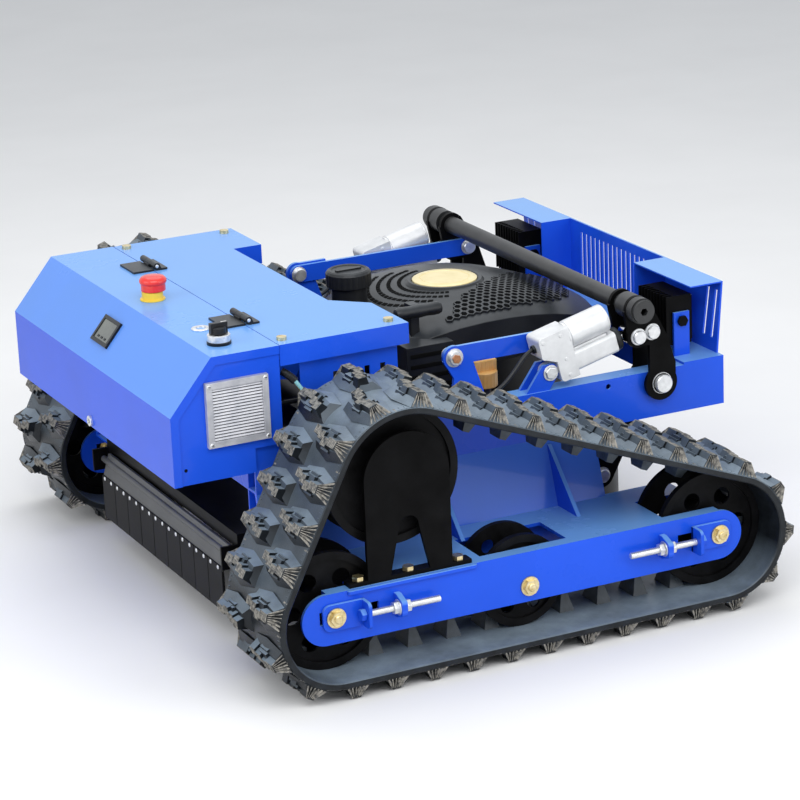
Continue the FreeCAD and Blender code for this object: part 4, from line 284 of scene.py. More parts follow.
def piece(name, bm, looks, body, replaced=(), smooth=math.radians(35), soft=0.0):
    """Turns a bmesh into an object in the row frame and hangs it on its body."""
    bmesh.ops.recalc_face_normals(bm, faces=bm.faces)
    mesh = bpy.data.meshes.new(name)
    bm.to_mesh(mesh)
    bm.free()
    for look in looks:
        mesh.materials.append(look)
    thing = bpy.data.objects.new(name, mesh)
    scene.collection.objects.link(thing)
    mesh.shade_smooth()
    mesh.set_sharp_from_angle(angle=smooth)
    if soft > 0:
        soften(thing, soft, 35)
    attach(thing, body)
    for node_name in replaced:
        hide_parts(node_name)
    return thing


def prism(bm, foot, top, index=0, top_index=None):
    """A closed block between two loops of equal count."""
    low = [bm.verts.new(p) for p in foot]
    high = [bm.verts.new(p) for p in top]
    count = len(low)
    faces = [bm.faces.new(low[::-1]), bm.faces.new(high)]
    for i in range(count):
        j = (i + 1) % count
        faces.append(bm.faces.new((low[i], low[j], high[j], high[i])))
    for face in faces:
        face.material_index = index
    if top_index is not None:
        faces[1].material_index = top_index
    return faces


def slab(bm, low, high, index=0):
    """A box between two corners."""
    foot = [(low[0], low[1], low[2]), (high[0], low[1], low[2]), (high[0], high[1], low[2]),
            (low[0], high[1], low[2])]
    top = [(p[0], p[1], high[2]) for p in foot]
    return prism(bm, foot, top, index)


def lathe(bm, profile, centre, axis, steps=32, index=0):
    """Turns (radius, height) pairs round an axis."""
    axis = Vector(axis).normalized()
    side = axis.orthogonal().normalized()
    other = axis.cross(side)
    rings = []
    for radius, height in profile:
        base = Vector(centre) + axis * height
        if radius < 1e-6:
            rings.append([bm.verts.new(base)])
            continue
        rings.append([bm.verts.new(base + (side * math.cos(a) + other * math.sin(a)) * radius)
                      for a in (2 * math.pi * k / steps for k in range(steps))])
    for first, second in zip(rings, rings[1:]):
        for k in range(steps):
            j = (k + 1) % steps
            if len(first) == 1 and len(second) == 1:
                continue
            if len(first) == 1:
                face = bm.faces.new((first[0], second[k], second[j]))
            elif len(second) == 1:
                face = bm.faces.new((first[k], first[j], second[0]))
            else:
                face = bm.faces.new((first[k], first[j], second[j], second[k]))
            face.material_index = index
    return rings


def skin(bm, rings):
    """Faces between closed rings of equal count."""
    for first, second in zip(rings, rings[1:]):
        for k in range(len(first)):
            j = (k + 1) % len(first)
            bm.faces.new((first[k], first[j], second[j], second[k]))


def capped(bm, rings):
    """The same with both ends closed."""
    skin(bm, rings)
    bm.faces.new(rings[0][::-1])
    bm.faces.new(rings[-1])


def knurled(bm, rows, x, y, steps, rib):
    """An upright round cap from (height, radius, ribbed) rows, with fine ribs where ribbed."""
    rings = []
    for height, radius, ribbed in rows:
        ring = []
        for k in range(steps):
            angle = 2 * math.pi * k / steps
            reach = radius + (rib if ribbed and k % 3 else 0)
            ring.append(bm.verts.new((x + reach * math.cos(angle), y + reach * math.sin(angle), height)))
        rings.append(ring)
    capped(bm, rings)


# Tracks: the belt path round the three wheels, walked in metres

AXLE = 0.1143
WHEELS = [(Vector((-0.282, 0, AXLE)), 0.0843), (Vector((-0.176, 0, AXLE + 0.175)), 0.0993),
          (Vector((0.320, 0, AXLE)), 0.0843)]
CORD = 0.005
BELT_RINGS = 256
BELT_THICK = 0.010
TREADS = 32
TRACK_Y = 0.422
ROW_Y = 0.048


def belt_runs():
    """Straight and round runs of the belt's inner face, with the length of each along its cord."""
    tangents = []
    for i in range(3):
        here, radius = WHEELS[i]
        there, other = WHEELS[(i + 1) % 3]
        gap = there - here
        unit = gap.normalized()
        side = (radius - other) / gap.length
        rise = math.sqrt(1 - side * side)
        out = Vector((-unit.z * rise + unit.x * side, 0, unit.x * rise + unit.z * side))
        tangents.append((here + out * radius, there + out * other, out))
    runs = []
    for i in range(3):
        start, end, out = tangents[i]
        runs.append(("line", start, end, out, (end - start).length))
        wheel, radius = WHEELS[(i + 1) % 3]
        after = tangents[(i + 1) % 3][2]
        angle = (math.atan2(out.z, out.x) - math.atan2(after.z, after.x)) % (2 * math.pi)
        runs.append(("arc", wheel, radius, out, (radius + CORD) * angle))
    return runs


RUNS = belt_runs()
BELT = sum(run[4] for run in RUNS)


def on_belt(distance):
    """Point on the belt's inner face and the outward direction there."""
    distance %= BELT
    for run in RUNS:
        if distance <= run[4]:
            break
        distance -= run[4]
    if run[0] == "line":
        return run[1] + (run[2] - run[1]) * (distance / run[4]), run[3]
    angle = math.atan2(run[3].z, run[3].x) - distance / (run[2] + CORD)
    out = Vector((math.cos(angle), 0, math.sin(angle)))
    return run[1] + out * run[2], out


LUG_FOOT = [(-0.0180, -0.0418), (0.0, -0.0408), (0.0180, -0.0418), (0.0265, 0.0), (0.0180, 0.0418),
            (0.0, 0.0408), (-0.0180, 0.0418), (-0.0265, 0.0)]
LUG_BARS = [(-0.034, -0.019, 0.0054), (-0.019, -0.004, 0.0016), (-0.004, 0.011, -0.0046), (0.011, 0.034, -0.0012)]
BAR_FOOT, BAR_HALF, BAR_TOP = 0.0105, 0.0060, 0.0182
LINE_PITCH, LINE_HALF, LINE_LOW, LINE_TOP = 0.0037, 0.0008, 0.0170, 0.0190
FAN_SPOTS = (-0.010, -0.006, -0.002, 0.002, 0.006, 0.010)
FAN_INNER, FAN_OUTER, FAN_HALF, FAN_TIP = 0.0330, 0.0420, 0.0005, 0.0004


def patch_at(x0, x1, y0, y1, z):
    """Corners of a level rectangle."""
    return [(x0, y0, z), (x1, y0, z), (x1, y1, z), (x0, y1, z)]


def belt_piece(word, sign):
    """Rubber belt with two staggered rows of treads outside and one row of guide lugs inside."""
    bm = bmesh.new()
    centre = TRACK_Y * sign
    section = [(-0.090, 0.0015), (-0.090, 0.0085), (-0.0885, 0.010), (0.0885, 0.010), (0.090, 0.0085),
               (0.090, 0.0015), (0.0885, 0.0), (-0.0885, 0.0)]
    rings = []
    for i in range(BELT_RINGS):
        point, out = on_belt(BELT * i / BELT_RINGS)
        rings.append([bm.verts.new(point + out * up + Vector((0, centre + y, 0))) for y, up in section])
    skin(bm, rings + rings[:1])
    pitch = BELT / TREADS
    phase = (RUNS[0][4] + RUNS[1][4] / 2) % pitch

    def placed(distance, lateral, spots, inward=False):
        point, out = on_belt(distance)
        along = Vector((out.z, 0, -out.x))
        lift = -out if inward else out
        base = point if inward else point + out * BELT_THICK
        return [base + along * a + Vector((0, centre + lateral + b, 0)) + lift * c for a, b, c in spots]

    def block(at, lateral, low, high, index=0, inward=False):
        prism(bm, placed(at, lateral, low, inward), placed(at, lateral, high, inward), index)

    def tread(at, row):
        """Mound with a stepped block, zigzag bars with pale lines across their tops, and a fan of pale ribs at the
        outer end; the pale rubber is partly wear, partly a painted highlight on the crests.
        """
        lateral = sign * row * ROW_Y
        o = sign * row
        block(at, lateral, [(x, y, -0.001) for x, y in LUG_FOOT], [(x * 0.50, y * 0.80, 0.0092) for x, y in LUG_FOOT])
        for reach, rise in ((0.0170, 0.0098), (0.0125, 0.0140)):
            low = patch_at(-reach, reach, -0.0125, 0.0125, 0)
            block(at, lateral, low, [(x * 0.9, y * 0.88, rise) for x, y, z in low])
        for start, end, shift in LUG_BARS:
            start, end, shift = o * start, o * end, shift * row
            block(at, lateral, patch_at(shift - BAR_FOOT, shift + BAR_FOOT, start, end, 0.0),
                  patch_at(shift - BAR_HALF, shift + BAR_HALF, start, end, BAR_TOP))
            lines = round(abs(end - start) / LINE_PITCH)
            for k in range(lines):
                middle = start + (end - start) * (k + 0.5) / lines
                spots = (shift - BAR_HALF, shift + BAR_HALF, middle - LINE_HALF, middle + LINE_HALF)
                block(at, lateral, patch_at(*spots, LINE_LOW), patch_at(*spots, LINE_TOP), 1)
        for shift in FAN_SPOTS:
            a, b = shift * 0.5, shift * 1.5
            inner, outer, tip = o * FAN_INNER, o * FAN_OUTER, o * 0.0416
            block(at, lateral,
                  [(a - FAN_HALF, inner, 0.0), (a + FAN_HALF, inner, 0.0),
                   (b + FAN_HALF, outer, 0.0), (b - FAN_HALF, outer, 0.0)],
                  [(a - FAN_TIP, inner, 0.0192), (a + FAN_TIP, inner, 0.0192),
                   (b + FAN_TIP, tip, 0.0012), (b - FAN_TIP, tip, 0.0012)], 1)

    for i in range(TREADS):
        for row, stagger in ((1, 0.0), (-1, 0.5)):
            tread(phase + (i + stagger) * pitch, row)
        block(phase + i * pitch, 0, patch_at(-0.012, 0.012, -0.022, 0.022, -0.001),
              patch_at(-0.005, 0.005, -0.014, 0.014, 0.0248), 2, True)
    # Ridges along both belt edges; every fifth in the pale rubber, partly wear, partly a painted highlight
    for i in range(BELT_RINGS):
        for side in (-1, 1):
            inner, middle, outer = side * 0.0800, side * 0.0815, side * 0.0893
            low = [(-0.0016, inner, -0.0006), (0.0016, inner, -0.0006), (0.0016, outer, -0.0022),
                   (-0.0016, outer, -0.0022)]
            high = [(-0.0009, middle, 0.0007), (0.0009, middle, 0.0007), (0.0009, outer, -0.0004),
                    (-0.0009, outer, -0.0004)]
            block(BELT * (i + 0.5) / BELT_RINGS, 0, low, high, 1 if i % 5 == 0 else 0)
    return piece("track_rubber_" + word, bm, [rubber, worn_and_highlight, guide], "chassis", ["track_belt_" + word],
                 math.radians(18))


for word, sign in SIDES:
    belt_piece(word, sign)

# Engine cowl with rounded shoulders, a honeycomb patch and vents

COWL = [
    (-0.015, 0.120, 0.366), (-0.008, 0.138, 0.376), (0.010, 0.152, 0.388), (0.040, 0.162, 0.398),
    (0.080, 0.167, 0.405), (0.120, 0.168, 0.408), (0.160, 0.167, 0.408), (0.200, 0.163, 0.405),
    (0.240, 0.155, 0.398), (0.280, 0.141, 0.387), (0.310, 0.124, 0.377), (0.335, 0.105, 0.367),
    (0.352, 0.090, 0.357), (0.364, 0.077, 0.346),
]
CROWN_X = 0.139
DEEP = 0.322


def cowl_at(x):
    """Half width and crown height of the cowl at x."""
    for (x0, w0, h0), (x1, w1, h1) in zip(COWL, COWL[1:]):
        if x <= x1:
            break
    t = max(0.0, min(1.0, (x - x0) / (x1 - x0)))
    return w0 + (w1 - w0) * t, h0 + (h1 - h0) * t


def cowl_top(x, y):
    """Height of the cowl's upper face."""
    wide, high = cowl_at(x)
    share = min(1.0, abs(y) / wide)
    return high - 0.020 * share ** 4 - 0.004 * share ** 2


bm = bmesh.new()
ACROSS = [-1.0, -0.985, -0.95, -0.9, -0.82, -0.7, -0.55, -0.35, -0.15, 0, 0.15, 0.35, 0.55, 0.7, 0.82, 0.9, 0.95,
          0.985, 1.0]
rings = []
for x, wide, high in COWL:
    rim = cowl_top(x, wide)
    ring = [(x, -wide, DEEP), (x, -wide, rim - 0.022), (x, -wide, rim - 0.004)]
    ring += [(x, wide * s, cowl_top(x, wide * s)) for s in ACROSS]
    ring += [(x, wide, rim - 0.004), (x, wide, rim - 0.022), (x, wide, DEEP)]
    rings.append([bm.verts.new(p) for p in ring])
for first, second in zip(rings, rings[1:]):
    for k in range(len(first) - 1):
        bm.faces.new((first[k], first[k + 1], second[k + 1], second[k]))
    bm.faces.new((first[0], second[0], second[-1], first[-1]))
bm.faces.new(rings[0][::-1])
bm.faces.new(rings[-1])
slab(bm, (-0.018, -0.186, 0.262), (0.058, -0.100, 0.371))
slab(bm, (0.0130, -0.139, 0.371), (0.0270, -0.119, 0.420))
# Five vent slots on the side as dark strips: painted shade of the openings
for k in range(5):
    z = 0.290 + 0.016 * k
    slab(bm, (-0.012, -0.1875, z), (0.052, -0.1855, z + 0.006), 1)
lathe(bm, [(0.027, 0.376), (0.027, 0.434), (0.0, 0.434)], (-0.006, 0.030, 0), UPRIGHT, 36)
piece("cowl_shell", bm, [plastic, painted_shade_black], "deck", ["engine_cowl"], smooth=math.radians(28), soft=0.0012)

PATCH = [(0.068, -0.150), (0.100, -0.112), (0.150, -0.074), (0.200, -0.040), (0.245, 0.002), (0.282, 0.027),
         (0.335, 0.035), (0.330, -0.010), (0.318, -0.052), (0.290, -0.096), (0.250, -0.122), (0.200, -0.140),
         (0.150, -0.150), (0.105, -0.154)]


def inside(x, y, loop):
    """Whether a point lies inside a closed outline."""
    hit = False
    for (x0, y0), (x1, y1) in zip(loop, loop[1:] + loop[:1]):
        if (y0 > y) != (y1 > y) and x < (x1 - x0) * (y - y0) / (y1 - y0) + x0:
            hit = not hit
    return hit


bm = bmesh.new()
CELL = 0.0118
row = 0
y = -0.165
while y < 0.05:
    x = 0.05 + (CELL / 2 if row % 2 else 0)
    while x < 0.35:
        if inside(x, y, PATCH):
            outer = CELL / math.sqrt(3)
            turns = [math.pi / 3 * k for k in range(6)]
            hexa = [(x + outer * math.sin(a), y + outer * math.cos(a)) for a in turns]
            inner = [(x + (a - x) * 0.74, y + (b - y) * 0.74) for a, b in hexa]
            rim, lip, floor, wall = ([bm.verts.new((a, b, cowl_top(a, b) + rise)) for a, b in loop]
                                     for loop, rise in ((hexa, 0.0032), (inner, 0.0032), (inner, 0.0004),
                                                        (hexa, -0.001)))
            for k in range(6):
                j = (k + 1) % 6
                bm.faces.new((rim[k], rim[j], lip[j], lip[k]))
                bm.faces.new((lip[k], lip[j], floor[j], floor[k]))
                bm.faces.new((wall[k], wall[j], rim[j], rim[k]))
            # Cell floor in the dark material: painted shade in the recess
            bm.faces.new(floor).material_index = 1
        x += CELL
    y += CELL * math.sqrt(3) / 2
    row += 1
piece("cowl_honeycomb", bm, [plastic, painted_shade_black], "deck", smooth=math.radians(20))

# Vent arcs on the cowl top as thin dark strips: painted shade of the slots
bm = bmesh.new()
for ring_radius, start, end in ((0.066, 100, 250), (0.082, 105, 245), (0.098, 115, 235), (0.114, 125, 225)):
    step = 6
    angle = start
    while angle < end:
        a0, a1 = math.radians(angle), math.radians(angle + step - 1.6)
        foot, top = [], []
        for a, r in ((a0, ring_radius), (a1, ring_radius), (a1, ring_radius + 0.006), (a0, ring_radius + 0.006)):
            px, py = CROWN_X + r * math.cos(a), r * math.sin(a)
            foot.append((px, py, cowl_top(px, py) - 0.002))
            top.append((px, py, cowl_top(px, py) + 0.0006))
        prism(bm, foot, top)
        angle += step
piece("cowl_vents", bm, [painted_shade_black], "deck")

bm = bmesh.new()
lathe(bm, [(0.0, 0.0026), (0.036, 0.0026), (0.0365, 0.0020), (0.038, 0.0020), (0.0385, 0.0028), (0.047, 0.0028),
           (0.049, 0.0016), (0.049, -0.004), (0.0, -0.004)], (CROWN_X, 0, 0.4082), UPRIGHT, 72)
piece("badge_disc", bm, [badge_paint], "deck", ["engine_badge"])
bm = bmesh.new()
lathe(bm, [(0.049, 0.0), (0.052, 0.0024), (0.056, 0.0024), (0.060, -0.002), (0.049, -0.002), (0.049, 0.0)],
      (CROWN_X, 0, 0.4074), UPRIGHT, 72)
piece("badge_surround", bm, [plastic], "deck")

# Stop button, collar, selector, ring, display and latch

SELECTOR_X, SELECTOR_Y = -0.336, -0.260

bm = bmesh.new()
lathe(bm, [(0.0, 0.017), (0.010, 0.0165), (0.0165, 0.0148), (0.0195, 0.0115), (0.02, 0.0085), (0.0192, 0.006),
           (0.0178, 0.0045), (0.0178, -0.005), (0.0162, -0.005), (0.0162, 0.003), (0.006, 0.003), (0.006, -0.026),
           (0.0, -0.026)], (-0.328, 0, 0.4706), UPRIGHT, 48)
piece("stop_head", bm, [red], "stop_button", ["stop_button"])

bm = bmesh.new()
lathe(bm, [(0.0, 0.0), (0.0180, 0.0), (0.0184, 0.0008), (0.0180, 0.0022), (0.0158, 0.0024), (0.0155, 0.0040),
           (0.0155, 0.0125), (0.0145, 0.0132), (0.0065, 0.0132), (0.0065, -0.001), (0.0, -0.001)],
      (-0.330, 0, 0.4516), UPRIGHT, 48)
piece("stop_collar", bm, [yellow], "lid", ["panel_fittings"])
bm = bmesh.new()
lathe(bm, [(0.0165, -0.001), (0.0170, 0.0), (0.0170, 0.0035), (0.0160, 0.0045), (0.0160, 0.0130), (0.0150, 0.0140),
           (0.0120, 0.0140), (0.0110, 0.0120), (0.0, 0.0120), (0.0, -0.001), (0.0165, -0.001)],
      (SELECTOR_X, SELECTOR_Y, 0.4516), UPRIGHT, 48)
for face in bm.faces:
    if all(v.co.z < 0.4562 for v in face.verts):
        face.material_index = 1
lathe(bm, [(0.0068, 0.0), (0.0130, 0.0), (0.0136, 0.0010), (0.0130, 0.0020), (0.0072, 0.0020), (0.0068, 0.0)],
      (-0.330, -0.180, 0.4514), UPRIGHT, 40)
piece("panel_bezels", bm, [silver, plastic], "lid")

bm = bmesh.new()
lathe(bm, [(0.006, -0.022), (0.006, 0.0002), (0.0108, 0.0002), (0.011, 0.001), (0.0105, 0.009), (0.0095, 0.010),
           (0.0, 0.010), (0.0, -0.022)], (SELECTOR_X, SELECTOR_Y, 0.4656), UPRIGHT, 40)
for low, high, index in (((-0.0125, -0.0038, 0.0002), (0.0125, 0.0038, 0.0160), 0),
                         ((0.004, -0.0008, 0.0160), (0.0122, 0.0008, 0.0164), 1)):
    base = (SELECTOR_X, SELECTOR_Y, 0.4656)
    slab(bm, [a + b for a, b in zip(base, low)], [a + b for a, b in zip(base, high)], index)
piece("selector_grip", bm, [plastic, white_ink], "selector", ["selector_knob"], soft=0.0006)

KNEE, ROOF = Vector((-0.4355, 0, 0.3756)), Vector((-0.3715, 0, 0.4516))
ALONG = (ROOF - KNEE).normalized()
OUT = Vector((-ALONG.z, 0, ALONG.x))


def slope_block(bm, along, across, out, index=0):
    """A block on the sloped face, given as ranges along it, across it and out of it."""
    foot, top = [], []
    for a, b in ((along[0], across[0]), (along[1], across[0]), (along[1], across[1]), (along[0], across[1])):
        spot = KNEE + ALONG * a + Vector((0, b, 0))
        foot.append(spot + OUT * out[0])
        top.append(spot + OUT * out[1])
    prism(bm, foot, top, index)


bm = bmesh.new()
for along, across in (((0.0300, 0.0355), (-0.030, 0.030)), ((0.0665, 0.0720), (-0.030, 0.030)),
                      ((0.0355, 0.0665), (-0.030, -0.0245)), ((0.0355, 0.0665), (0.0245, 0.030))):
    slope_block(bm, along, across, (0.0, 0.004))
slope_block(bm, (0.0355, 0.0665), (-0.0245, 0.0245), (0.0, 0.0028), 1)
for spot in (-0.012, 0.0, 0.012):
    slope_block(bm, (0.0385, 0.0420), (spot - 0.003, spot + 0.003), (0.0028, 0.0036))
piece("panel_display", bm, [plastic, glass_dark], "lid", ["display_meter"], soft=0.0006)

bm = bmesh.new()
lathe(bm, [(0.0, -0.012), (0.004, -0.012), (0.004, 0.0), (0.0078, 0.0), (0.008, 0.0006), (0.0078, 0.0036),
           (0.0070, 0.0041), (0.0042, 0.0041), (0.0040, 0.0030), (0.0, 0.0030)],
      (-0.4355, 0.004, 0.286), (-1, 0, 0), 36)
# Key slot as a dark sliver: painted shade
slab(bm, (-0.4390, 0.0034, 0.2826), (-0.4384, 0.0046, 0.2894), 1)
slab(bm, (-0.4255, 0.0, 0.282), (-0.4235, 0.008, 0.308))
piece("latch_face", bm, [silver, painted_shade_black], "latch", ["lid_latch"])

# Fuel cap, recoil grip and dipstick

bm = bmesh.new()
knurled(bm, ((0.414, 0.0325, 0), (0.4155, 0.0335, 1), (0.4345, 0.0335, 1), (0.4380, 0.0318, 0),
             (0.4396, 0.0290, 0), (0.4388, 0.0262, 0), (0.4376, 0.0250, 0)), -0.006, 0.030, 72, 0.0008)
slab(bm, (-0.026, 0.0265, 0.4370), (0.014, 0.0335, 0.4400))
piece("fuel_cap_knurl", bm, [plastic], "fuel_cap", ["fuel_cap"], smooth=math.radians(24))

bm = bmesh.new()
GRIP = [(-0.038, 0.0), (-0.0378, 0.0045), (-0.036, 0.0078), (-0.032, 0.0094), (-0.024, 0.0098), (-0.014, 0.0090),
        (-0.006, 0.0096), (0.0, 0.0100), (0.006, 0.0096), (0.014, 0.0090), (0.024, 0.0098), (0.032, 0.0094),
        (0.036, 0.0078), (0.0378, 0.0045), (0.038, 0.0)]
lathe(bm, [(r, h) for h, r in GRIP], (0.020, -0.150, 0.413), (1, 0, 0), 32)
lathe(bm, [(0.0033, 0.0), (0.0033, 0.031), (0.0, 0.031)], (0.020, -0.150, 0.413), (0, 1, 0), 20)
piece("recoil_grip", bm, [plastic], "recoil", ["recoil_handle"])

bm = bmesh.new()
knurled(bm, ((0.2991, 0.0178, 0), (0.3005, 0.0184, 1), (0.3215, 0.0184, 1), (0.3225, 0.0165, 0)),
        0.099, -0.200, 60, 0.0006)
slab(bm, (0.0815, -0.2058, 0.3215), (0.1165, -0.1942, 0.3388))
for k in range(5):
    x = 0.0855 + 0.0062 * k
    slab(bm, (x, -0.2066, 0.3240), (x + 0.0022, -0.1934, 0.3380))
lathe(bm, [(0.0028, 0.2490), (0.0028, 0.3000)], (0.099, -0.200, 0), UPRIGHT, 20)
piece("dipstick_cap", bm, [orange], "dipstick", ["dipstick"], soft=0.0005)

# Wiring: corrugated conduit with two wires, and the actuator leads


def spline(name, points, radius, look, body, replaced=(), rings=0):
    """A round cord through control points; with rings it is a corrugated hose."""
    curve = bpy.data.curves.new(name, "CURVE")
    curve.dimensions = "3D"
    line = curve.splines.new("NURBS")
    line.points.add(len(points) - 1)
    for spot, at in zip(line.points, points):
        spot.co = (*at, 1)
    line.order_u = 4
    line.use_endpoint_u = True
    line.resolution_u = 24
    path = bpy.data.objects.new(name + "_guide", curve)
    scene.collection.objects.link(path)
    bpy.context.view_layer.update()
    mesh = bpy.data.meshes.new_from_object(path)
    spots = [v.co.copy() for v in mesh.vertices]
    bpy.data.objects.remove(path)
    bpy.data.meshes.remove(mesh)
    length = sum((b - a).length for a, b in zip(spots, spots[1:]))
    count = rings * 6 if rings else max(12, int(length / 0.004))
    steps = 20
    bm = bmesh.new()
    marks, travelled, index = [], 0.0, 0
    for k in range(count + 1):
        target = length * k / count
        while index < len(spots) - 2 and travelled + (spots[index + 1] - spots[index]).length < target:
            travelled += (spots[index + 1] - spots[index]).length
            index += 1
        gap = spots[index + 1] - spots[index]
        marks.append((spots[index] + gap * ((target - travelled) / gap.length), gap.normalized()))
    side = marks[0][1].orthogonal().normalized()
    loops = []
    for k, (centre, along) in enumerate(marks):
        side = (side - along * side.dot(along)).normalized()
        other = along.cross(side)
        size = radius * (1.0 if k % 6 in (1, 2, 3) else 0.86) if rings else radius
        loops.append([bm.verts.new(centre + (side * math.cos(a) + other * math.sin(a)) * size)
                      for a in (2 * math.pi * j / steps for j in range(steps))])
    capped(bm, loops)
    return piece(name, bm, [look], body, replaced)


spline("conduit_hose", [(-0.262, -0.298, 0.409), (-0.258, -0.302, 0.4065), (-0.252, -0.3055, 0.4013),
                        (-0.2465, -0.3075, 0.3945)], 0.006, plastic, "chassis", ["wiring_loom"], rings=9)
spline("lead_yellow", [(-0.2480, -0.3045, 0.3965), (-0.236, -0.3065, 0.380), (-0.2275, -0.3065, 0.366),
                       (-0.219, -0.3055, 0.354), (-0.208, -0.304, 0.338),
                       (-0.205, -0.3035, 0.326), (-0.204, -0.3035, 0.3135)], 0.0028, wire_yellow, "chassis")
spline("lead_cyan", [(-0.2480, -0.3105, 0.3960), (-0.237, -0.3125, 0.380), (-0.2285, -0.3125, 0.366),
                     (-0.222, -0.3125, 0.355), (-0.215, -0.312, 0.342), (-0.211, -0.309, 0.328),
                     (-0.211, -0.3035, 0.3135)], 0.0028, wire_cyan, "chassis")
LEAD = [(0.1319, 0.291, 0.3714), (0.121, 0.292, 0.369), (0.106, 0.295, 0.355), (0.084, 0.299, 0.333),
        (0.056, 0.301, 0.3165), (0.020, 0.301, 0.3148), (-0.030, 0.300, 0.3148), (-0.070, 0.292, 0.319),
        (-0.105, 0.277, 0.333), (-0.140, 0.264, 0.345), (-0.185, 0.258, 0.349), (-0.228, 0.257, 0.349),
        (-0.2704, 0.257, 0.349)]
for word, sign in SIDES:
    spline("actuator_lead_" + word, [(x, sign * y, z) for x, y, z in LEAD], 0.003, plastic, "chassis")

# Fan filter: frame, slanted louvres, corner screws with dark slots, and a dark back sheet; slots and back are painted
# shade

bm = bmesh.new()
cx, cz = -0.3375, 0.3706
face = -0.3124
HALF, MOUTH, SCREW = 0.046, 0.037, 0.0415
for x0, z0, x1, z1 in ((-HALF, -HALF, HALF, -MOUTH), (-HALF, MOUTH, HALF, HALF), (-HALF, -MOUTH, -MOUTH, MOUTH),
                       (MOUTH, -MOUTH, HALF, MOUTH)):
    slab(bm, (cx + x0, face - 0.008, cz + z0), (cx + x1, face, cz + z1))
for k in range(17):
    z = cz - 0.0348 + 0.00435 * k
    foot = [(cx - MOUTH, face - 0.0066, z - 0.0014), (cx - MOUTH, face - 0.0046, z - 0.0014),
            (cx - MOUTH, face - 0.0030, z + 0.0014), (cx - MOUTH, face - 0.0050, z + 0.0014)]
    prism(bm, foot, [(cx + MOUTH, b, c) for a, b, c in foot])
for x, z in ((-1, -1), (-1, 1), (1, -1), (1, 1)):
    spot = (cx + x * SCREW, face - 0.0078, cz + z * SCREW)
    lathe(bm, [(0.0, 0.0016), (0.0022, 0.0013), (0.0032, 0.0), (0.0, 0.0)], spot, (0, -1, 0), 18, 2)
    slab(bm, (spot[0] - 0.0020, face - 0.0096, spot[2] - 0.0004),
         (spot[0] + 0.0020, face - 0.0090, spot[2] + 0.0004), 1)
slab(bm, (cx - MOUTH, face - 0.0014, cz - MOUTH), (cx + MOUTH, face - 0.0008, cz + MOUTH), 1)
piece("filter_louvres", bm, [grille_metal, painted_shade_black, silver], "chassis", ["fan_filter"], soft=0.0005)

# Lamps: glass with nine dished lenses in front

for word, sign in SIDES:
    bm = bmesh.new()
    y = 0.228 * sign
    slab(bm, (0.4108, y - 0.034, 0.335), (0.4125, y + 0.034, 0.401))
    for a in (-0.020, 0, 0.020):
        for b in (-0.020, 0, 0.020):
            lathe(bm, [(0.0, 0.0004), (0.004, 0.0008), (0.0075, 0.0016), (0.0082, 0.0002), (0.0082, -0.0006)],
                  (0.4125, y + a, 0.368 + b), (1, 0, 0), 24)
    piece("lamp_glass_" + word, bm, [lens], "lamp_" + word)

# Track tensioners: painted yokes and anchors, bright rods and nuts


def plate_outline(points, round_at, radius, turns=6):
    """Rounds the named corners of an outline given as pairs."""
    made = []
    count = len(points)
    for i, (x, y) in enumerate(points):
        if i not in round_at:
            made.append((x, y))
            continue
        here = Vector((x, y))
        back_way = (Vector(points[i - 1]) - here).normalized()
        ahead = (Vector(points[(i + 1) % count]) - here).normalized()
        centre = here + (back_way + ahead) * radius
        first = here + back_way * radius - centre
        last = here + ahead * radius - centre
        for k in range(turns + 1):
            t = k / turns
            spot = first * (1 - t) + last * t
            made.append(tuple(centre + spot.normalized() * radius))
    return made


def hexagon_bar(bm, centre, axis, radius, start, end, index=0):
    """A nut or head with broken edges, between two places along its axis."""
    lathe(bm, [(0.0, start), (radius * 0.9, start), (radius, start + 0.0008), (radius, end - 0.0008),
               (radius * 0.9, end), (0.0, end)], centre, axis, 6, index)


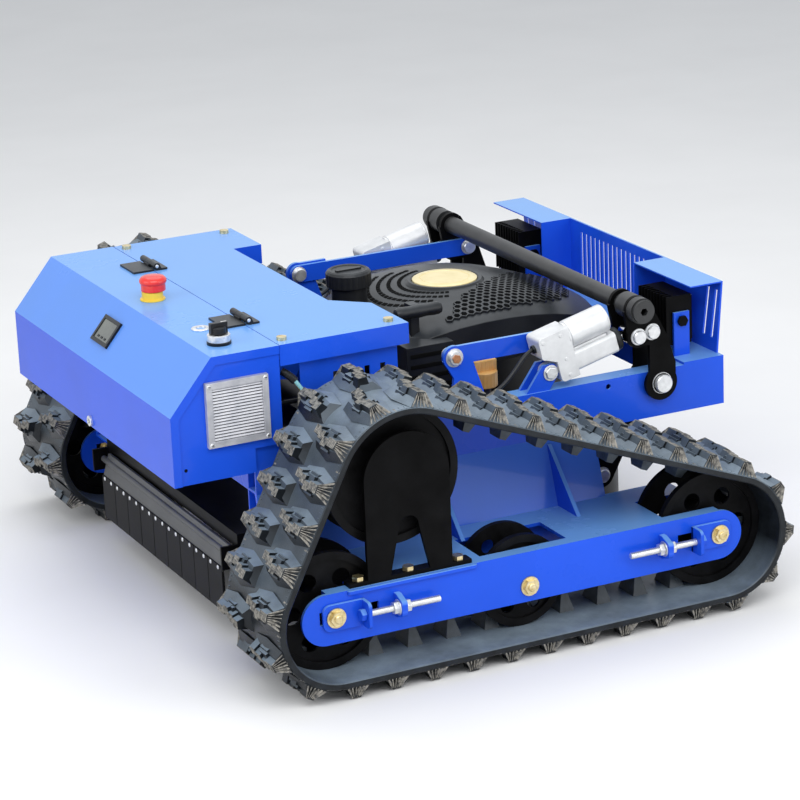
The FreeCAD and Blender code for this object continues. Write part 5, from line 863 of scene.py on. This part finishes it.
for word, sign in SIDES:
    bm = bmesh.new()
    for axle, toward in ((-0.282, 1), (0.320, -1)):
        yoke = plate_outline([(-0.019, -0.019), (0.044, -0.019), (0.044, 0.019), (-0.019, 0.019)], (0, 3), 0.011)
        prism(bm, [(axle + toward * x, sign * 0.4802, AXLE + z) for x, z in yoke],
              [(axle + toward * x, sign * 0.485, AXLE + z) for x, z in yoke])
        loop = plate_outline([(0.480, -0.019), (0.507, -0.019), (0.507, 0.019), (0.480, 0.019)], (1, 2), 0.007)
        prism(bm, [(axle + toward * 0.039, sign * y, AXLE + z) for y, z in loop],
              [(axle + toward * 0.044, sign * y, AXLE + z) for y, z in loop])
        loop = plate_outline([(0.480, -0.017), (0.488, -0.017), (0.507, -0.010), (0.507, 0.010), (0.488, 0.017),
                              (0.480, 0.017)], (2, 3), 0.0065)
        prism(bm, [(axle + toward * 0.0885, sign * y, AXLE + z) for y, z in loop],
              [(axle + toward * 0.0970, sign * y, AXLE + z) for y, z in loop])
        rod = (axle, sign * 0.494, AXLE)
        way = (toward, 0, 0)
        hexagon_bar(bm, rod, way, 0.009, 0.031, 0.039)
        thread = [(0.0, 0.0440)]
        for k in range(72):
            thread.append((0.0050 if k % 2 else 0.0044, 0.0440 + 0.0015 * k))
        thread.append((0.0038, 0.152))
        thread.append((0.0, 0.152))
        lathe(bm, thread, rod, way, 18, 1)
        for start in (0.0800, 0.0985):
            hexagon_bar(bm, rod, way, 0.0092, start, start + 0.0078, 1)
        for start in (0.0872, 0.0970):
            lathe(bm, [(0.0, start), (0.0112, start), (0.0112, start + 0.0014), (0.0, start + 0.0014)], rod, way,
                  28, 1)
    replaced = ["track_tensioners"] if sign < 0 else []
    piece("tensioner_set_" + word, bm, [blue, silver], "chassis", replaced, soft=0.0006)

    bm = bmesh.new()
    for x, z, face in ((-0.282, AXLE, 0.485), (0.320, AXLE, 0.485), (0.015, 0.0973, 0.480)):
        lathe(bm, [(0.0, 0.0002), (0.0140, 0.0002), (0.0144, 0.0008), (0.0140, 0.0024), (0.0, 0.0024)],
              (x, sign * face, z), (0, sign, 0), 36)
        lathe(bm, [(0.0, 0.0080), (0.0058, 0.0080), (0.0058, 0.0096), (0.0050, 0.0102), (0.0, 0.0102)],
              (x, sign * face, z), (0, sign, 0), 24)
    piece("axle_washers_" + word, bm, [zinc], "chassis")

    bm = bmesh.new()
    loop = plate_outline([(-0.262, 0.4795), (-0.066, 0.4795), (-0.066, 0.4845), (-0.262, 0.4845)], (2, 3), 0.004)
    prism(bm, [(x, sign * y, 0.1415) for x, y in loop], [(x, sign * y, 0.1472) for x, y in loop])
    piece("guard_ledge_" + word, bm, [blue], "chassis", soft=0.0008)

# Bright bolt heads on the lift linkage: faces of the outer plates, the arms and the ties

PLATE_Y, ARM_Y, TIE_Y = 0.318, 0.274, 0.260
TIE_HIGH = 0.375


def bolt_cap(bm, x, y, z, way, washer, head, high):
    """A washer with a round head on it, pointing along y."""
    lathe(bm, [(0.0, 0.0001), (washer, 0.0001), (washer + 0.0003, 0.0006), (washer, 0.0018), (head, 0.0019),
               (head, high - 0.0014), (head - 0.0012, high), (0.0, high + 0.0002)], (x, y, z), (0, way, 0))


for word, sign in SIDES:
    bm = bmesh.new()
    for x, z in ((0.312, TIE_HIGH), (0.289, 0.371)):
        bolt_cap(bm, x, sign * PLATE_Y, z, sign, 0.0122, 0.0104, 0.0076)
    bolt_cap(bm, 0.327, sign * PLATE_Y, 0.295, sign, 0.0158, 0.0135, 0.0094)
    bolt_cap(bm, 0.312, sign * TIE_Y, TIE_HIGH, -sign, 0.0122, 0.0104, 0.0076)
    bolt_cap(bm, 0.249, sign * ARM_Y, 0.155, sign, 0.0122, 0.0104, 0.0076)
    piece("rocker_bolts_" + word, bm, [silver], "rocker")
    bm = bmesh.new()
    bolt_cap(bm, 0.014, sign * ARM_Y, TIE_HIGH, sign, 0.0135, 0.0104, 0.0074)
    lathe(bm, [(0.0, 0.0072), (0.0066, 0.0072), (0.0066, 0.0098), (0.0, 0.0098)], (0.014, sign * ARM_Y, TIE_HIGH),
          (0, sign, 0), 6, 1)
    bolt_cap(bm, 0.014, sign * TIE_Y, TIE_HIGH, -sign, 0.0122, 0.0104, 0.0076)
    piece("crank_bolts_" + word, bm, [silver, copper], "cranks")

# Lift actuators: gear housing, motor can and ram tube

TILT = math.atan2(0.0344, 0.137)
CLEVIS = Vector((0.152, 0, 0.3366))
RAM_Y = 0.291


def ram(x, y, z, sign):
    """A point of the actuator, given along its stroke, across it and above it."""
    return Vector((CLEVIS.x + x * math.cos(TILT) - z * math.sin(TILT), sign * RAM_Y + y,
                   CLEVIS.z + x * math.sin(TILT) + z * math.cos(TILT)))


def ram_block(bm, loop, low, high, sign):
    """A block whose outline is given across and above, between two places along the stroke."""
    prism(bm, [ram(low, y, z, sign) for y, z in loop], [ram(high, y, z, sign) for y, z in loop])


for word, sign in SIDES:
    way = (math.cos(TILT), 0, math.sin(TILT))
    bm = bmesh.new()
    side_loop = plate_outline([(0.012, -0.020), (0.042, -0.020), (0.042, 0.0565), (-0.009, 0.0565), (-0.009, 0.026),
                               (0.012, 0.013)], (0, 3, 4), 0.006)
    prism(bm, [ram(x, -0.019, z, sign) for x, z in side_loop], [ram(x, 0.019, z, sign) for x, z in side_loop])
    lug = [(0.0, -0.0105), (0.016, -0.0105), (0.016, 0.0105), (0.0, 0.0105)]
    lug += [(-0.0105 * math.sin(a), 0.0105 * math.cos(a)) for a in (math.pi * k / 10 for k in range(1, 10))]
    prism(bm, [ram(x, -0.007, z, sign) for x, z in lug], [ram(x, 0.007, z, sign) for x, z in lug])
    motor = ram(0, 0, 0.0386, sign)
    lathe(bm, [(0.0, 0.040), (0.0195, 0.040), (0.0195, 0.0435), (0.0208, 0.044), (0.0208, 0.1035), (0.0200, 0.1045),
               (0.0206, 0.1050), (0.0206, 0.1068), (0.0192, 0.1080), (0.0, 0.1080)], motor, way, 56)
    tube_loop = plate_outline([(-0.0150, -0.0155), (0.0150, -0.0155), (0.0150, 0.0155), (-0.0150, 0.0155)],
                              (0, 1, 2, 3), 0.0055)
    ram_block(bm, tube_loop, 0.0415, 0.1130, sign)
    ram_block(bm, plate_outline([(-0.0085, 0.0145), (0.0085, 0.0145), (0.0085, 0.0185), (-0.0085, 0.0185)], (2, 3),
                                0.0015), 0.0420, 0.1020, sign)
    for x, z in ((0.027, -0.013), (0.027, 0.012), (0.027, 0.049), (-0.002, 0.049)):
        for y in (-0.0190, 0.0190):
            lathe(bm, [(0.0, 0.0008), (0.0026, 0.0008), (0.0030, 0.0), (0.0030, -0.001)], ram(x, y, z, sign),
                  (0, 1 if y > 0 else -1, 0), 18)
    pin = ram(0, 0, 0, sign)
    lathe(bm, [(0.0062, 0.1130), (0.0165, 0.1130), (0.0175, 0.1140), (0.0170, 0.1160), (0.0175, 0.1180),
               (0.0168, 0.1215), (0.0150, 0.1220), (0.0062, 0.1220)], pin, way, 40, 1)
    lathe(bm, [(0.0, -0.0170), (0.0060, -0.0170), (0.0060, 0.0170), (0.0, 0.0170)], pin, (0, 1, 0), 24, 2)
    for side in (-1, 1):
        lathe(bm, [(0.0, 0.0129), (0.0118, 0.0129), (0.0120, 0.0136), (0.0118, 0.0146), (0.0, 0.0146)], pin,
              (0, side, 0), 32, 2)
        hexagon_bar(bm, pin, (0, side, 0), 0.0098, 0.0146, 0.0172, 2)
    lathe(bm, [(0.0045, -0.0135), (0.0062, -0.0130), (0.0062, -0.0090), (0.0045, -0.0090)], motor, way, 20, 1)
    piece("actuator_body_" + word, bm, [alloy, plastic, silver], "actuator_" + word, ["lift_actuator_" + word],
          smooth=math.radians(30), soft=0.0010)

# Pin ends of the lid hinges, and the drain hole low on each side of the box as a dark disc of painted shade

bm = bmesh.new()
for sign in (-1, 1):
    for y, way in ((0.2005, 1), (0.1435, -1)):
        lathe(bm, [(0.0, 0.0006), (0.0020, 0.0005), (0.0026, 0.0), (0.0, -0.0004)], (-0.2655, sign * y, 0.4581),
              (0, sign * way, 0), 20)
    lathe(bm, [(0.0, 0.0002), (0.0024, 0.0002), (0.0026, -0.0001), (0.0, -0.0001)], (-0.4165, sign * 0.3124, 0.2980),
          (0, sign, 0), 24, 1)
piece("hinge_pin_ends", bm, [silver, painted_shade_black], "chassis")

# Lower shroud of the engine under the cowl

bm = bmesh.new()
half = [(0.045, 0.128), (0.150, 0.132), (0.235, 0.118), (0.300, 0.088), (0.326, 0.050)]
loop = half + [(x, -y) for x, y in reversed(half)]
levels = [(0.178, 0.86), (0.232, 0.90), (0.285, 0.96), (0.340, 1.0)]
rings = []
for z, share in levels:
    rings.append([bm.verts.new((0.185 + (x - 0.185) * share, y * share, z)) for x, y in loop])
capped(bm, rings)
piece("engine_shroud", bm, [plastic], "deck", smooth=math.radians(25), soft=0.004)

# Rear flap: painted bar with rubber strips under it

bm = bmesh.new()
lathe(bm, [(0.0, -0.259), (0.005, -0.259), (0.005, 0.259), (0.0, 0.259)], (-0.333, 0, 0.138), (0, 1, 0), 20)
bar_side = [(-0.331, 0.150), (-0.327, 0.150), (-0.339, 0.112), (-0.343, 0.112)]
STRIPS, FLAP_HALF, STRIP_PITCH, STRIP_WIDE = 9, 0.236, 0.05244, 0.05090
strip_side = [(-0.3435, 0.118), (-0.3395, 0.118), (-0.3385, 0.050), (-0.3435, 0.050)]
prism(bm, [(x, -FLAP_HALF, z) for x, z in bar_side], [(x, FLAP_HALF, z) for x, z in bar_side])
for k in range(STRIPS):
    low = -FLAP_HALF + STRIP_PITCH * k + 0.0008
    high = low + STRIP_WIDE
    prism(bm, [(x, low, z) for x, z in strip_side], [(x, high, z) for x, z in strip_side], 1)
    for spot in (low + 0.012, high - 0.012):
        lathe(bm, [(0.0, 0.0015), (0.0030, 0.0012), (0.0034, 0.0), (0.0, 0.0)], (-0.3435, spot, 0.1150), (-1, 0, 0),
              14, 2)
piece("flap_strips", bm, [bar_grey, strip_rubber, silver], "flap", ["rear_flap"], soft=0.0006)

# Light, floor and backdrop

world = bpy.data.worlds.new("studio")
scene.world = world
world.use_nodes = True
tree = world.node_tree
background = tree.nodes["Background"]
paths = tree.nodes.new("ShaderNodeLightPath")
direct = math_node(tree, "MAXIMUM", paths.outputs["Is Camera Ray"], paths.outputs["Is Transmission Ray"])
shown = math_node(tree, "MAXIMUM", direct.outputs[0], paths.outputs["Is Glossy Ray"])
level = tree.nodes.new("ShaderNodeMapRange")
level.inputs["To Min"].default_value = 0.55
level.inputs["To Max"].default_value = 1.0
tree.links.new(shown.outputs[0], level.inputs["Value"])
background.inputs["Color"].default_value = (0.93, 0.96, 1.0, 1)
tree.links.new(level.outputs[0], background.inputs["Strength"])


def lamp(name, place, aim, power, wide, high):
    """A soft rectangular light."""
    data = bpy.data.lights.new(name, "AREA")
    data.shape = "RECTANGLE"
    data.size = wide
    data.size_y = high
    data.energy = power
    thing = bpy.data.objects.new(name, data)
    thing.location = place
    thing.rotation_euler = (Vector(aim) - Vector(place)).to_track_quat("-Z", "Y").to_euler()
    scene.collection.objects.link(thing)


lamp("key", (-0.8, -2.2, 2.4), (0, 0, 0.2), 46, 2.4, 1.6)
lamp("fill_rear", (-3.0, -0.4, 1.6), (0, 0, 0.3), 28, 2.0, 2.0)
lamp("fill_side", (2.0, -2.8, 1.4), (0, 0, 0.25), 28, 2.2, 2.0)
lamp("top", (0.3, 1.0, 3.0), (0, 0, 0.2), 28, 2.5, 2.5)

floor_look, tree, shader = material("pale_floor")
where = place_nodes(tree)
color = ramp(tree, noise(tree, where, 3.0, 3.0), 0.3, 0.7, (0.93, 0.93, 0.93), (0.96, 0.96, 0.96))
tree.links.new(color, shader.inputs["Base Color"])
shader.inputs["Roughness"].default_value = 0.9
bm = bmesh.new()
FLOOR = 30
for x, y in ((-FLOOR, -FLOOR), (FLOOR, -FLOOR), (FLOOR, FLOOR), (-FLOOR, FLOOR)):
    bm.verts.new((x, y, -0.0004))
bm.faces.new(bm.verts)
mesh = bpy.data.meshes.new("floor")
bm.to_mesh(mesh)
bm.free()
mesh.materials.append(floor_look)
floor = bpy.data.objects.new("floor", mesh)
scene.collection.objects.link(floor)
